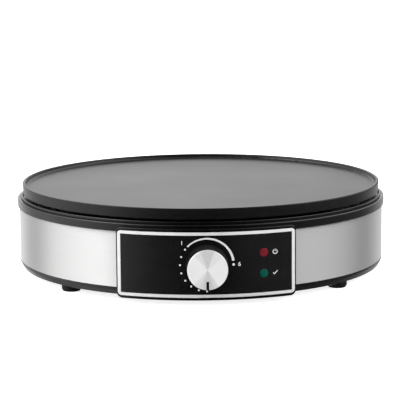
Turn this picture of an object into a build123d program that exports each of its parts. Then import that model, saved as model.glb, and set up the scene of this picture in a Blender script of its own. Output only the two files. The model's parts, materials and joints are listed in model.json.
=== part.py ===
from build123d import *
import os
from math import asin, atan2, cos, degrees, radians, sin, sqrt

# =====================================================================================
# Electric crepe maker: a round coated plate on a steel-banded body, with a control panel.
# Millimetres, +Z up. The model is drawn about the plate's axis with the floor at z = 0 and
# the front at -Y. The last section moves it along Y, so that the origin is under the middle.
# =====================================================================================

# ---- Cooking plate -------------------------------------------------------------------
plate_r = 150.0        # outside of the rim
plate_t = 4.0          # casting under the cooking surface
plate_depth = 8.8      # from the rim's top to the skirt's lower edge
rim_h = 3.5            # rim above the cooking surface
rim_w = 2.5            # width of the rim's top
rim_slope = 0.9        # the rim's inner wall leans out by this
rim_fillet_r = 2.2       # where the rim meets the cooking surface
rim_round_r = 0.7        # edges of the rim's top
skirt_w = 2.6          # wall of the skirt
skirt_draft = 0.5      # the skirt draws in by this towards its lower edge

# ---- Heights of the body -------------------------------------------------------------
foot_h = 5.1           # base above the floor
strip_h = 6.2          # black strip of the base under the band
band_h = 44.1          # steel band
ring_h = 8.7           # upper ring above the band
plate_gap = 1.4        # open gap between the upper ring's lip and the skirt

# ---- Radii and walls of the body -----------------------------------------------------
ring_over = 4.4        # upper ring's outside beyond the plate's
band_inset = 1.4       # band's face behind the upper ring's face
band_t = 0.5           # steel sheet
wall_t = 2.0           # moulded walls
floor_t = 2.2          # floor of the base
strip_taper = 2.2      # the strip curves in by this towards the underside
strip_round_r = 0.9      # edge of the underside
strip_curve_r = 3.0      # where the strip's face turns inwards
floor_corner = 1.5     # thicker corner between the floor and the wall
ledge_w = 8.0          # upper ring's ledge reaches in under the plate by this
ledge_t = 2.5
ledge_drop = 0.2       # ledge below the shoulder
lip_w = 1.5            # raised lip on the upper ring
lip_under = 0.2        # the lip reaches in under the plate's rim by this
groove_w = 0.7         # groove outside the lip
groove_d = 0.5
shoulder_drop = 2.1    # shoulder below the lip's top
shoulder_round_r = 1.0
lip_round_r = 0.55
ring_bevel = 0.3       # lower edge of the upper ring's face
skirt_inner_h = 10.0   # upper ring's locating wall inside the band
upstand_h = 15.5       # base's locating wall inside the band
slip = 0.3             # loose clearance between neighbouring pieces
seat_gap = 0.05        # clearance of a piece in its seat
thread_gap = 0.05      # clearance of a screw in its simplified thread
edge_bevel = 0.5       # flat cut on hidden edges and lead-ins
past = 1.0             # a cut runs past the face it opens by this
root = 0.5             # a boss or rib starts this far inside the wall it stands on

# ---- Case screws, which pull the base, band and upper ring together ------------------
case_screw_count = 6
case_screw_start_deg = 30.0    # first one, degrees from the front
post_r = 4.0
case_boss_r = 5.5
case_boss_h = 17.5         # above the floor
boss_roof_t = 4.0          # plastic under the post, held by the screw head
case_screw_r = 1.75
case_head_r = 3.5
case_head_h = 2.2
case_screw_bite = 12.0     # depth in the post
head_gap = 0.4             # round a screw head in its recess

# ---- Plate fixing --------------------------------------------------------------------
plate_screw_count = 4
plate_screw_start_deg = 45.0
plate_screw_inset = 22.0   # from the plate's edge
plate_boss_r = 6.5
plate_boss_h = 9.2         # under the casting
plate_boss_wall = 1.2      # casting left above the tapped hole
plate_post_h = 15.5        # base posts above the floor
spacer_r = 4.5
plate_screw_r = 2.0
plate_head_r = 3.8
plate_head_h = 2.6

# ---- Heating element -----------------------------------------------------------------
tube_r = 3.3
loop_inset = 45.0          # outer loop, from the plate's edge
loop_step = 43.0           # from the outer to the inner loop
element_drop = 3.8         # tube's axis under the casting
ridge_w = 12.0             # ridge that holds the groove
loop_start_deg = 15.0          # gaps at the rear, degrees from the rear centre
turn_start_deg = 30.0
inner_start_deg = 22.0
bend_r = 10.0              # ends bend down
leg_len = 8.0              # straight below the bend
seal_r = 4.4
seal_len = 7.0
seal_cup = 2.0             # the tube's end sits this deep in its seal
pin_r = 1.5
pin_len = 9.0
pin_tab_t = 0.8            # pin's flattened end
pin_tab_len = 7.0
clip_w = 8.0
clip_t = 0.8
clip_ear = 13.5            # ear's end from the tube's axis
clip_hole = 9.2            # screw from the tube's axis
clip_boss_r = 4.0
pad_r = 4.5                # cast pads for the thermostat's bracket and the earth screw
outer_clips_deg = (150.0, 215.0, 325.0, 30.0)      # degrees, counter-clockwise from +X
inner_clips_deg = (180.0, 270.0, 0.0)
m3_r = 1.5
m3_head_r = 2.8
m3_head_h = 2.0
m3_bite = 3.4

# ---- Heat shield ---------------------------------------------------------------------
shield_t = 0.8
dish_over_loop = 3.0       # dish beyond the outer loop
shield_dish_depth = 8.0
shield_cone_w = 6.0
shield_turn_down = 3.5
shield_gap = 1.0           # to the posts of the upper ring
leg_hole_r = 8.0
notch_gap = 4.0            # round the thermostat's bracket
bead_insets = (33.0, 68.0) # from the edge of the dish
bead_h = 1.6
bead_w = 5.0

# ---- Base ----------------------------------------------------------------------------
rib_t = 1.6
rib_h = 4.0
radial_rib_count = 12
radial_rib_start_deg = 15.0
rib_margin = 12.0          # straight ribs end this far from the wall
rib_ring_radii = (42.0, 96.0)
vent_w = 4.0
vent_pitch = 9.0
vent_rows = 7
vent_len = 38.0
vent_x = 69.0              # middle of each field of vents

# ---- Feet ----------------------------------------------------------------------------
foot_angles_deg = (48.5, 131.5, 228.5, 311.5)      # degrees from the front
foot_inset = 11.0          # from the band's face
foot_r = 7.8
foot_sole_r = 7.0
foot_round_r = 0.8
foot_boss_r = 4.0
foot_boss_h = 8.0
foot_head_depth = 2.6      # screw head inside the foot
foot_screw_bite = 6.5

# ---- Control panel -------------------------------------------------------------------
panel_w = 138.8
panel_h = 55.4
panel_drop = 0.95          # lower edge below the base
panel_proud = 5.0          # frame's face in front of the band
panel_corner_r = 4.5
frame_line = 0.9           # black frame beside the trim
frame_line_low = 2.2       # black frame under the trim
frame_line_top = 2.3       # black frame over the trim
frame_round_r = 0.6
trim_line = 2.4            # width of the bright line
trim_corner_r = 3.0
trim_proud = 0.15
panel_recess = 2.6         # depth of the recess for trim and fascia
fascia_t = 2.1
box_w = 115.0              # box behind the frame, through the band's gap
box_h = 36.0
box_corner_r = 3.0
box_depth = 13.0           # box reaches this far inside the band
band_gap_slack = 1.5       # between the box and the band's turned-in end
flange_w = 6.0             # the band's turned-in ends
window_depth = 32.0        # cut for the box, from the walls' outside at the front
lug_x = 28.0
lug_r = 4.0
lug_h = 12.0
hook_x = 36.0
hook_w = 12.0
peg_gap = 3.5              # from the side wall of the box
peg_z = 17.0
peg_r = 1.5
peg_len = 1.9

# ---- Knob ----------------------------------------------------------------------------
knob_reach = 18.8          # knob's face in front of the frame
knob_base_r = 16.45
knob_face_r = 15.7
knob_gap = 0.3             # knob's base in front of the frame's face
knob_wall = 1.6
knob_web = 2.0
knob_bevel = 0.25
knob_foot_h = 1.4          # nearly straight foot of the knob's side
knob_hub_r = 5.6
knob_rib_count = 6
knob_rib_start_deg = 30.0
knob_rib_t = 1.2
knob_rib_gap = 5.0         # ribs stay this far inside the knob's open end
cap_r = 15.4
cap_t = 1.0
cap_edge = 0.45
pointer_w = 2.1
pointer_len = 6.5
pointer_sink = 0.1         # pointer below the cap's face
knob_travel_deg = 270.0        # degrees, clockwise from the front

# ---- Thermostat, along the knob's axis; depths are behind the frame's face -----------
spindle_r = 3.0
spindle_flat = 1.4
spindle_in_knob = 13.4
flat_len = 12.0
running_gap = 0.05
bracket_depth = 23.6       # front of the bracket
sheet_t = 1.2
bush_r = 4.8
bush_front = 3.2           # bush in front of the bracket
bush_tail_r = 3.9
stop_r = 9.0
stop_t = 1.5
stop_arm_half_deg = 11.0       # degrees
stop_slack_deg = 2.0           # degrees past the travel before the stop is met
stack_x = -16.0
ceramic_r = 7.0
ceramic_t = 4.0
ceramic_step = 3.0
blade_t = 0.5
blade_w = 7.0
blade_end = 12.5
tab_w = 6.3
tab_len = 14.0
bimetal_t = 1.0
bimetal_w = 8.0
contact_x = 9.0
contact_r = 2.0
contact_t = 1.3
push_pin_x = 4.6
push_pin_r = 1.25
push_pin_gap = 0.2
tip_gap = 0.4              # spindle's tip in front of the first spring
tip_r = 2.6
tip_len = 3.0
rivet_r = 1.6
rivet_head_r = 3.0
rivet_head_t = 1.0
bracket_half_w = 14.0
bracket_low = 12.0         # bracket below the knob's axis
bracket_foot = 18.0        # foot under the plate
bracket_screw_x = 8.0
bracket_screw_y = 10.4     # behind the bracket's front
frame_screw_y = 7.5
frame_screw_x = 10.0

# ---- Lamps ---------------------------------------------------------------------------
lamp_x = 44.3
lamp_step = 16.4
lens_r = 3.5
lens_flange_r = 4.6
lens_flange_t = 1.8
lens_proud = 0.3
lamp_r = 2.9
lamp_len = 8.0
holder_w = 12.0
holder_slack = 1.0         # above and below the holder in the box
holder_depth = 9.0
rail_t = 1.5

# ---- Cord entry ----------------------------------------------------------------------
cord_r = 3.5
cord_slack = 0.1           # round the cord in its gland
gland_up = 7.8             # gland's axis above the band's lower edge
gland_flange_r = 7.4
gland_flange_t = 2.4
gland_bevel = 0.8
gland_neck_r = 5.4
gland_snap_r = 6.3
gland_snap_t = 2.0
clamp_inset = 16.2         # from the inside of the wall
clamp_boss_x = 9.0
clamp_boss_r = 3.4
clamp_w = 7.0
cradle_w = 4.0             # web under the cord between the clamp's bosses
clamp_t = 2.6
clamp_bite = 8.0

# ---- Terminal block and fuse ---------------------------------------------------------
block_gap = 26.0           # from the clamp
block_poles = 3
block_pitch = 10.0
block_len = 17.0
barrel_r = 4.2
block_foot_t = 3.0
block_ear = 4.0            # foot round each of its screws
block_boss_h = 4.5
insert_r = 2.6
insert_bore_r = 1.8
insert_depth = 1.0         # inserts lie this far inside the block's ends
tower_r = 2.9
tower_h = 3.0
tower_sink = 0.5           # screws below the towers' tops
fuse_r = 2.2
fuse_len = 13.0
fuse_wire_r = 0.6
fuse_wire_gap = 0.5        # between the wire's end and the lead's core in a crimp
fuse_clip_hole = 7.0
fuse_clip_ear = 10.5
earth_angle_deg = 140.0        # degrees, counter-clockwise from +X

# ---- Leads, push-on terminals and crimps ---------------------------------------------
lead_r = 1.5               # over the glass-fibre sleeve
core_r = 0.9
core_bite = 4.0            # bare core beyond the sleeve
lamp_lead_r = 0.8
lead_bend_r = 5.0
lead_gap = 0.1             # leads above what they lie on
push_on_wall = 0.6
push_on_len = 5.8
push_on_w = 7.6
barrel_wall = 0.5
barrel_len = 4.5
main_barrel_x = -1.5       # the two barrels of a push-on, from its middle
lamp_barrel_x = 2.2
crimp_len = 7.0
crimp_gap = 0.7            # from the fuse's body
tag_r = 5.0                # ring tag under the earth screw
tag_neck = 1.0
shield_hole_r = 3.5        # where leads pass the heat shield
shield_hole_out = 4.5      # beyond the line of the fuse
shield_hole_y = 30.0
earth_hole_y = 44.0
switch_way_x = (22.0, 34.0, 34.0, 30.0)    # the thermostat's lead runs this far left of the middle
lamp_way_depth = 45.0      # lamp wires cross this far behind the frame's face

# =====================================================================================
# Sizes that follow from these
# =====================================================================================
base_z = foot_h
floor_z = base_z + floor_t
strip_z = base_z + strip_h
band_top_z = strip_z + band_h
ring_top_z = band_top_z + ring_h
skirt_z = ring_top_z + plate_gap
rim_z = skirt_z + plate_depth
surface_z = rim_z - rim_h
under_z = surface_z - plate_t
element_z = under_z - element_drop
shield_top_z = under_z - plate_boss_h
shield_z = shield_top_z - shield_t
case_boss_z = floor_z + case_boss_h
plate_post_z = floor_z + plate_post_h

ring_r = plate_r + ring_over
band_r = ring_r - band_inset
band_in_r = band_r - band_t
wall_r = band_in_r - slip                  # outside of the walls that locate the band
wall_in_r = wall_r - wall_t
post_pcr = wall_in_r - slip - post_r
ledge_r = plate_r - ledge_w
shield_r = post_pcr - post_r - shield_gap
plate_screw_pcr = plate_r - plate_screw_inset
loop_r = plate_r - loop_inset
inner_loop_r = loop_r - loop_step
mid_loop_r = loop_r - loop_step / 2
shield_hole_x = mid_loop_r + shield_hole_out
shield_dish_r = loop_r + dish_over_loop
foot_pcr = band_r - foot_inset
clamp_y = wall_in_r - clamp_inset
block_y = clamp_y - block_gap

panel_r = band_r + panel_proud
panel_low_z = base_z - panel_drop
panel_z = panel_low_z + panel_h / 2        # the knob's axis is at this height
recess_r = panel_r - panel_recess
frame_back_r = band_r + slip
trim_w = panel_w - 2 * frame_line
trim_h = panel_h - frame_line_low - frame_line_top
trim_z = panel_z + (frame_line_low - frame_line_top) / 2
fascia_w = trim_w - 2 * trim_line
fascia_h = trim_h - 2 * trim_line
box_low_z = panel_z - box_h / 2
box_in_r = band_r - box_depth
peg_x = box_w / 2 - wall_t - peg_gap
holder_h = box_h - 2 * wall_t - 2 * holder_slack
band_gap_x = box_w / 2 + band_gap_slack
lug_y = -sqrt((box_in_r + lug_r + wall_t / 2) ** 2 - lug_x ** 2)
lamp_angle_deg = degrees(asin(lamp_x / panel_r))
crimp_mid_y = fuse_len / 2 + crimp_gap + crimp_len / 2
gland_z = strip_z + gland_up
gland_bore_r = cord_r + cord_slack

front_reach = panel_r + knob_reach
rear_reach = band_r + seat_gap + gland_flange_t
origin_shift = (front_reach - rear_reach) / 2


# =====================================================================================
# Shared shapes
# =====================================================================================
def at(radius, degrees_from_front):
    """Point on a circle about the plate's axis; the angle runs from the front to +X."""
    a = radians(degrees_from_front)
    return radius * sin(a), -radius * cos(a)


def around(count, start):
    return [start + 360.0 / count * i for i in range(count)]


def turned(points, radii=0.0):
    """Solid of revolution about Z from a closed outline of (radius, height) points."""
    outline = FilletPolyline(*[(r, 0, z) for r, z in points], radius=radii, close=True)
    return revolve(make_face(outline), Axis.Z)


def tube(r_out, r_in, z_low, z_high):
    return turned([(r_in, z_low), (r_out, z_low), (r_out, z_high), (r_in, z_high)])


def rod(x, y, radius, z_low, z_high):
    low = (Align.CENTER, Align.CENTER, Align.MIN)
    return Pos(x, y, z_low) * Cylinder(radius, z_high - z_low, align=low)


def block(x0, x1, y0, y1, z0, z1):
    return Pos((x0 + x1) / 2, (y0 + y1) / 2, (z0 + z1) / 2) * Box(x1 - x0, y1 - y0, z1 - z0)


def pan_screw(shank_r, length, head_r, head_h):
    """Screw along Z: its head below z = 0 and its shank above. Cross recess in the head."""
    head = turned([(0, -head_h), (head_r * 0.8, -head_h), (head_r, -head_h * 0.55), (head_r, 0), (0, 0)])
    slot = head_r * 0.22
    reach = head_r * 0.6
    cross = block(-reach, reach, -slot, slot, -head_h, -head_h / 2)
    cross += block(-slot, slot, -reach, reach, -head_h, -head_h / 2)
    return head - cross + Pos(0, 0, length / 2) * Cylinder(shank_r, length)


def curved_slab(width, height, corner, z_mid, r_in, r_out):
    """Piece of a cylinder wall at the front, with a rounded rectangle as its front view."""
    front_view = Plane.XZ * Pos(0, z_mid) * RectangleRounded(width, height, corner)
    prism = extrude(front_view, amount=r_out + 1)
    return prism & tube(r_out, r_in, z_mid - height, z_mid + height)


def outward(degrees_from_front, radius, z):
    """Plane on the body's wall: its x to the right, its y up, its z straight out."""
    x, y = at(radius, degrees_from_front)
    a = radians(degrees_from_front)
    return Plane(origin=(x, y, z), x_dir=(cos(a), sin(a), 0), z_dir=(sin(a), -cos(a), 0))


def group(shapes):
    """Separate like pieces in one node."""
    return Compound(children=[solid for shape in shapes for solid in shape.solids()])


knob_plane = outward(0, panel_r, panel_z)


# =====================================================================================
# Heating element, its groove and clips
# =====================================================================================
def polar(radius, angle, z):
    return radius * cos(radians(angle)), radius * sin(radians(angle)), z


def element_route():
    """Double loop: outer arc, turn back, inner arc. Returns the edges that lie flat."""
    turn_angle = 90 - turn_start_deg
    outer = CenterArc((0, 0, element_z), loop_r, 90 + loop_start_deg, 360 - loop_start_deg - turn_start_deg)
    turn = CenterArc(polar(mid_loop_r, turn_angle, element_z), loop_step / 2, turn_angle, 180)
    inner = CenterArc((0, 0, element_z), inner_loop_r, turn_angle, -(360 - turn_start_deg - inner_start_deg))
    return [outer, turn, inner]


def leg_places():
    """Where the element's two ends point down: (x, y) of each leg."""
    places = []
    for radius, start in ((loop_r, loop_start_deg), (inner_loop_r, inner_start_deg)):
        x, y, _ = polar(radius, 90 + start, 0)
        tangent = (sin(radians(90 + start)), -cos(radians(90 + start)))
        places.append((x + tangent[0] * bend_r, y + tangent[1] * bend_r))
    return places


def leg_bend(radius, start):
    """Quarter bend from a leg up into the loop."""
    x, y, z = polar(radius, 90 + start, element_z)
    tx, ty = sin(radians(90 + start)), -cos(radians(90 + start))
    half = sqrt(0.5) * bend_r
    low = (x + tx * bend_r, y + ty * bend_r, z - bend_r)
    middle = (x + tx * half, y + ty * half, z - bend_r + half)
    return ThreePointArc(low, middle, (x, y, z))


def heating_element():
    (x0, y0), (x1, y1) = leg_places()
    bend_z = element_z - bend_r
    first = Line((x0, y0, bend_z - leg_len), (x0, y0, bend_z))
    last = Line((x1, y1, bend_z), (x1, y1, bend_z - leg_len))
    bends = [leg_bend(loop_r, loop_start_deg), leg_bend(inner_loop_r, inner_start_deg)]
    route = Wire([first, bends[0], *element_route(), bends[1], last])
    section = Plane(origin=(x0, y0, bend_z - leg_len), z_dir=(0, 0, 1)) * Circle(tube_r)
    return sweep(section, path=route)


def along_loop(section_width, section_height, section_radius=0.0):
    """Ridge or groove that follows the element's flat route, above its axis."""
    x, y, z = polar(loop_r, 90 + loop_start_deg, element_z)
    radial = (cos(radians(90 + loop_start_deg)), sin(radians(90 + loop_start_deg)), 0)
    tangent = (-radial[1], radial[0], 0)
    plane = Plane(origin=(x, y, z), x_dir=radial, z_dir=tangent)
    if section_radius:
        section = plane * Circle(section_radius)
    else:
        section = plane * Pos(0, -section_height / 2) * Rectangle(section_width, section_height)
    return sweep(section, path=Wire(element_route()))


def clip_frames():
    """Location of each element clip: its origin on the tube, x towards its ear, z up."""
    frames = []
    for radius, angles, turn in ((loop_r, outer_clips_deg, 0), (inner_loop_r, inner_clips_deg, 180)):
        for angle in angles:
            frames.append(Location(polar(radius, angle, element_z), (0, 0, angle + turn)))
    return frames


def saddle_clip(rod_r, hole, ear, width):
    """Bent strip under a rod along Y, with one ear that a screw holds."""
    inside = rod_r + 3 * seat_gap
    ring = Circle(inside + clip_t) - Circle(inside)
    section = ring & (Pos(0, -ear) * Rectangle(4 * ear, 2 * ear))
    section += Pos((inside + ear) / 2, -clip_t / 2) * Rectangle(ear - inside, clip_t)
    strip = extrude(Plane.XZ * section, amount=width / 2, both=True)
    return strip - rod(hole, 0, m3_r + slip / 2, -ear, ear)


def element_clips():
    return group([f * saddle_clip(tube_r, clip_hole, clip_ear, clip_w) for f in clip_frames()])


def clip_screws():
    screw = pan_screw(m3_r, m3_bite + clip_t, m3_head_r, m3_head_h)
    return group([f * Pos(clip_hole, 0, -clip_t) * screw for f in clip_frames()])


def element_seals():
    z = element_z - bend_r - leg_len
    low = z + seal_cup - seal_len
    return group([rod(x, y, seal_r, low, z + seal_cup) - rod(x, y, tube_r + seat_gap, z, z + seal_cup + past)
                  - rod(x, y, pin_r + seat_gap, low - past, z + past) for x, y in leg_places()])


def element_pins():
    """Cold pins that leave the seals, each flattened to a tab for its push-on lead."""
    z = element_z - bend_r - leg_len
    low = z - pin_len
    pins = []
    for x, y in leg_places():
        pin = rod(x, y, pin_r, low, z)
        pins.append(pin + block(x - tab_w / 2, x + tab_w / 2, y - pin_tab_t / 2, y + pin_tab_t / 2,
                                low + past - pin_tab_len, low + past))
    return group(pins)


# =====================================================================================
# Cooking plate
# =====================================================================================
def plate_boss_places():
    return [at(plate_screw_pcr, a) for a in around(plate_screw_count, plate_screw_start_deg)]


def bracket_screw_places():
    y = -(panel_r - bracket_depth) + bracket_screw_y
    return [(-bracket_screw_x, y), (bracket_screw_x, y)]


def fuse_frame():
    return Location((mid_loop_r, 0, under_z - fuse_r - seat_gap))


def earth_place():
    return polar(mid_loop_r, earth_angle_deg, 0)[:2]


def hotplate():
    skirt_r = plate_r - skirt_draft
    rim_in_r = plate_r - rim_w
    skirt_edge = (skirt_r - edge_bevel, skirt_z)
    casting = turned(
        [(0, under_z), (skirt_r - skirt_w, under_z), (skirt_r - skirt_w, skirt_z), skirt_edge,
         (skirt_r, skirt_z + edge_bevel), (plate_r, rim_z), (rim_in_r, rim_z),
         (rim_in_r - rim_slope, surface_z), (0, surface_z)],
        [0, 0, 0, 0, 0, rim_round_r, rim_round_r, rim_fillet_r, 0])
    casting += along_loop(ridge_w, element_drop)
    for x, y in plate_boss_places():
        casting += rod(x, y, plate_boss_r, shield_top_z, under_z)
    for frame in clip_frames():
        casting += frame * rod(clip_hole, 0, clip_boss_r, 0, element_drop)
    for x, y in bracket_screw_places():
        casting += rod(x, y, pad_r, element_z, under_z)
    earth_x, earth_y = earth_place()
    casting += rod(earth_x, earth_y, pad_r, element_z, under_z)
    fuse_boss = fuse_frame() * rod(fuse_clip_hole, 0, clip_boss_r, 0, fuse_r + seat_gap)
    casting += fuse_boss

    casting -= along_loop(0, 0, tube_r + seat_gap)
    for x, y in plate_boss_places():
        casting -= rod(x, y, plate_screw_r + thread_gap, shield_top_z - past, surface_z - plate_boss_wall)
    for frame in clip_frames():
        casting -= frame * rod(clip_hole, 0, m3_r + thread_gap, -1, m3_bite + slip)
    for x, y in bracket_screw_places() + [earth_place()]:
        casting -= rod(x, y, plate_screw_r + thread_gap, element_z - past, surface_z - plate_boss_wall)
    casting -= fuse_frame() * rod(fuse_clip_hole, 0, m3_r + thread_gap, -1, m3_bite + slip)
    return casting


# =====================================================================================
# Heat shield, spacers and plate screws
# =====================================================================================
def heat_shield():
    low = shield_z - shield_dish_depth
    rise_r = shield_dish_r + shield_cone_w
    sheet = turned(
        [(0, low), (shield_dish_r, low), (rise_r, shield_z), (shield_r - shield_t, shield_z),
         (shield_r - shield_t, shield_top_z - shield_turn_down), (shield_r, shield_top_z - shield_turn_down),
         (shield_r, shield_top_z), (rise_r - shield_t, shield_top_z),
         (shield_dish_r - shield_t, low + shield_t), (0, low + shield_t)])
    for inset in bead_insets:
        radius = shield_dish_r - inset
        edge = radius + bead_w / 2
        side = shield_t
        sheet += turned([(radius - bead_w / 2, low + shield_t), (edge, low + shield_t),
                         (edge - bead_h, low + shield_t + bead_h), (radius - bead_w / 2 + bead_h,
                                                                    low + shield_t + bead_h)])
        sheet -= turned([(radius - bead_w / 2 + side, low), (edge - side, low),
                         (edge - bead_h - side / 2, low + bead_h), (radius - bead_w / 2 + bead_h + side / 2,
                                                                    low + bead_h)])
    notch = bracket_half_w + notch_gap
    sheet -= block(-notch, notch, -plate_r, notch_gap / 2 - shield_dish_r, low - past, shield_top_z + past)
    for x, y in leg_places():
        sheet -= rod(x, y, leg_hole_r, low - past, shield_top_z + past)
    for x, y in plate_boss_places():
        sheet -= rod(x, y, plate_screw_r + slip, low - past, shield_top_z + past)
    for x, y in shield_hole_places():
        sheet -= rod(x, y, shield_hole_r, low - past, shield_top_z + past)
    return sheet


def shield_hole_places():
    """Holes that the fuse's two leads and the earth lead pass through."""
    return [(shield_hole_x, shield_hole_y), (shield_hole_x, -shield_hole_y), (-shield_hole_x, earth_hole_y)]


def plate_spacers():
    sleeves = []
    for x, y in plate_boss_places():
        sleeve = rod(x, y, spacer_r, plate_post_z, shield_z)
        sleeves.append(sleeve - rod(x, y, plate_screw_r + slip, plate_post_z - past, shield_z + past))
    return group(sleeves)


def plate_screws():
    seat = plate_post_z - boss_roof_t
    reach = surface_z - plate_boss_wall - 1 - seat
    screw = pan_screw(plate_screw_r, reach, plate_head_r, plate_head_h)
    return group([Pos(x, y, seat) * screw for x, y in plate_boss_places()])


# =====================================================================================
# Upper ring, band and base
# =====================================================================================
def case_places():
    return [at(post_pcr, a) for a in around(case_screw_count, case_screw_start_deg)]


def upper_ring():
    shoulder_z = ring_top_z - shoulder_drop
    ledge_z = shoulder_z - ledge_drop
    lip_in_r = plate_r - lip_under
    lip_r = lip_in_r + lip_w
    skirt_low_z = band_top_z - skirt_inner_h
    ring = turned(
        [(wall_in_r, skirt_low_z), (wall_r - edge_bevel, skirt_low_z),
         (wall_r, skirt_low_z + edge_bevel), (wall_r, band_top_z),
         (ring_r - ring_bevel, band_top_z), (ring_r, band_top_z + ring_bevel), (ring_r, shoulder_z),
         (lip_r + groove_w, shoulder_z), (lip_r + groove_w, shoulder_z - groove_d),
         (lip_r, shoulder_z - groove_d), (lip_r, ring_top_z), (lip_in_r, ring_top_z),
         (lip_in_r, ledge_z), (ledge_r, ledge_z), (ledge_r, ledge_z - ledge_t),
         (wall_in_r, ledge_z - ledge_t)],
        [0, 0, 0, 0, 0, 0, shoulder_round_r, 0, 0, 0, lip_round_r, lip_round_r, 0, 0, 0, 0])
    bottom = skirt_low_z - 1
    window = band_gap_x + band_t + slip
    ring -= block(-window, window, -ring_r - past, window_depth - wall_r, bottom, box_low_z + box_h + slip)
    for (x, y), angle in zip(case_places(), around(case_screw_count, case_screw_start_deg)):
        post = rod(x, y, post_r, case_boss_z, ledge_z - ledge_t / 2)
        gusset = outward(angle, post_pcr, 0) * block(-rib_t / 2, rib_t / 2, bottom + 1, ledge_z - ledge_t / 2,
                                                     0, wall_in_r - post_pcr + root)
        ring += post + gusset
        ring -= rod(x, y, case_screw_r + thread_gap, case_boss_z - past, case_boss_z + case_screw_bite + past)
    return ring


def steel_band():
    band = tube(band_r, band_in_r, strip_z, band_top_z)
    band -= block(-band_gap_x, band_gap_x, -ring_r, 0, strip_z - past, band_top_z + past)
    flange_y = -sqrt(band_in_r ** 2 - band_gap_x ** 2)
    low = strip_z + upstand_h / 3
    for side in (-1, 1):
        x0, x1 = sorted((side * band_gap_x, side * (band_gap_x + band_t)))
        band += block(x0, x1, flange_y - band_t, flange_y + flange_w, low, band_top_z - skirt_inner_h - slip)
    hole = outward(180, band_r, gland_z) * Cylinder(gland_neck_r + slip / 2, 2 * (wall_t + band_inset))
    return band - hole


def base_ribs(floor_top):
    """Stiffening ribs on the inside of the floor: two rings and a fan of straight ones."""
    hub_r = rib_ring_radii[0]
    ribs = None
    for radius in rib_ring_radii:
        ring = tube(radius + rib_t / 2, radius - rib_t / 2, floor_top - root, floor_top + rib_h)
        ribs = ring if ribs is None else ribs + ring
    for angle in around(radial_rib_count, radial_rib_start_deg):
        straight = block(-rib_t / 2, rib_t / 2, hub_r, wall_in_r - rib_margin,
                         floor_top - root, floor_top + rib_h)
        ribs += Rot(0, 0, angle) * straight
    return ribs


def vent_slots():
    slots = None
    for side in (-1, 1):
        for row in range(vent_rows):
            y = (row - (vent_rows - 1) / 2) * vent_pitch
            outline = Pos(side * vent_x, y, base_z - 1) * SlotOverall(vent_len, vent_w)
            slot = extrude(outline, amount=floor_t + rib_h + 3)
            slots = slot if slots is None else slots + slot
    return slots


def clamp_boss_places():
    return [(-clamp_boss_x, clamp_y), (clamp_boss_x, clamp_y)]


def base_shell():
    flat_r = band_r - strip_taper
    upstand_z = strip_z + upstand_h
    shell = turned(
        [(0, base_z), (flat_r, base_z), (band_r, strip_z - strip_h * 0.35), (band_r, strip_z - ring_bevel),
         (band_r - ring_bevel, strip_z), (wall_r, strip_z), (wall_r, upstand_z - edge_bevel),
         (wall_r - edge_bevel, upstand_z), (wall_in_r, upstand_z), (wall_in_r, floor_z + floor_corner),
         (wall_in_r - floor_corner, floor_z), (0, floor_z)],
        [0, strip_round_r, strip_curve_r, 0, 0, 0, 0, 0, 0, 0, 0, 0])
    shell += base_ribs(floor_z)
    shell -= vent_slots()

    # posts and bosses that stand on the floor
    for x, y in case_places():
        shell += rod(x, y, case_boss_r, floor_z - root, case_boss_z)
    for x, y in plate_boss_places():
        shell += rod(x, y, plate_boss_r, floor_z - root, plate_post_z)
    for angle in foot_angles_deg:
        x, y = at(foot_pcr, angle)
        shell += rod(x, y, foot_boss_r, floor_z - root, floor_z + foot_boss_h)
    for side in (-1, 1):
        shell += rod(side * lug_x, lug_y, lug_r + 1, floor_z - root, box_low_z)
    for x, y in clamp_boss_places():
        shell += rod(x, y, clamp_boss_r, floor_z - root, gland_z)
    for x, y in block_screw_places():
        shell += rod(x, y, clamp_boss_r, floor_z - root, floor_z + block_boss_h)
    cradle = block(-clamp_boss_x, clamp_boss_x, clamp_y - cradle_w / 2, clamp_y + cradle_w / 2,
                   floor_z - root, gland_z)
    shell += cradle - outward(180, clamp_y, gland_z) * Cylinder(gland_bore_r, 2 * clamp_w)

    # holes and recesses for the screws, all driven from below
    recesses = [(case_places(), case_screw_r, case_head_r, case_boss_z - boss_roof_t, case_boss_z),
                (plate_boss_places(), plate_screw_r, plate_head_r, plate_post_z - boss_roof_t, plate_post_z)]
    for places, screw_r, head_r, roof_z, top_z in recesses:
        for x, y in places:
            shell -= rod(x, y, head_r + head_gap, base_z - past, roof_z)
            shell -= rod(x, y, screw_r + slip / 2, roof_z - past, top_z + past)
    for side in (-1, 1):
        shell -= rod(side * lug_x, lug_y, m3_head_r + head_gap, base_z - past, box_low_z - wall_t)
        shell -= rod(side * lug_x, lug_y, m3_r + slip / 2, base_z, box_low_z + past)
    for angle in foot_angles_deg:
        x, y = at(foot_pcr, angle)
        shell -= rod(x, y, m3_r + thread_gap, base_z - past, floor_z + foot_boss_h - past)
    for x, y in clamp_boss_places():
        shell -= rod(x, y, m3_r + thread_gap, gland_z - clamp_bite - past, gland_z + past)
    for x, y in block_screw_places():
        shell -= rod(x, y, m3_r + thread_gap, floor_z - 0.6, floor_z + block_boss_h + past)

    # openings in the wall for the panel's box and for the gland
    window = band_gap_x + band_t + slip
    shell -= block(-window, window, -ring_r - past, window_depth - wall_r,
                   box_low_z, strip_z + upstand_h + past)
    shell -= outward(180, band_r, gland_z) * Cylinder(gland_neck_r + slip / 2, 2 * (wall_t + 2))
    return shell


def case_screws():
    screw = pan_screw(case_screw_r, boss_roof_t + case_screw_bite, case_head_r, case_head_h)
    return group([Pos(x, y, case_boss_z - boss_roof_t) * screw for x, y in case_places()])


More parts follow.
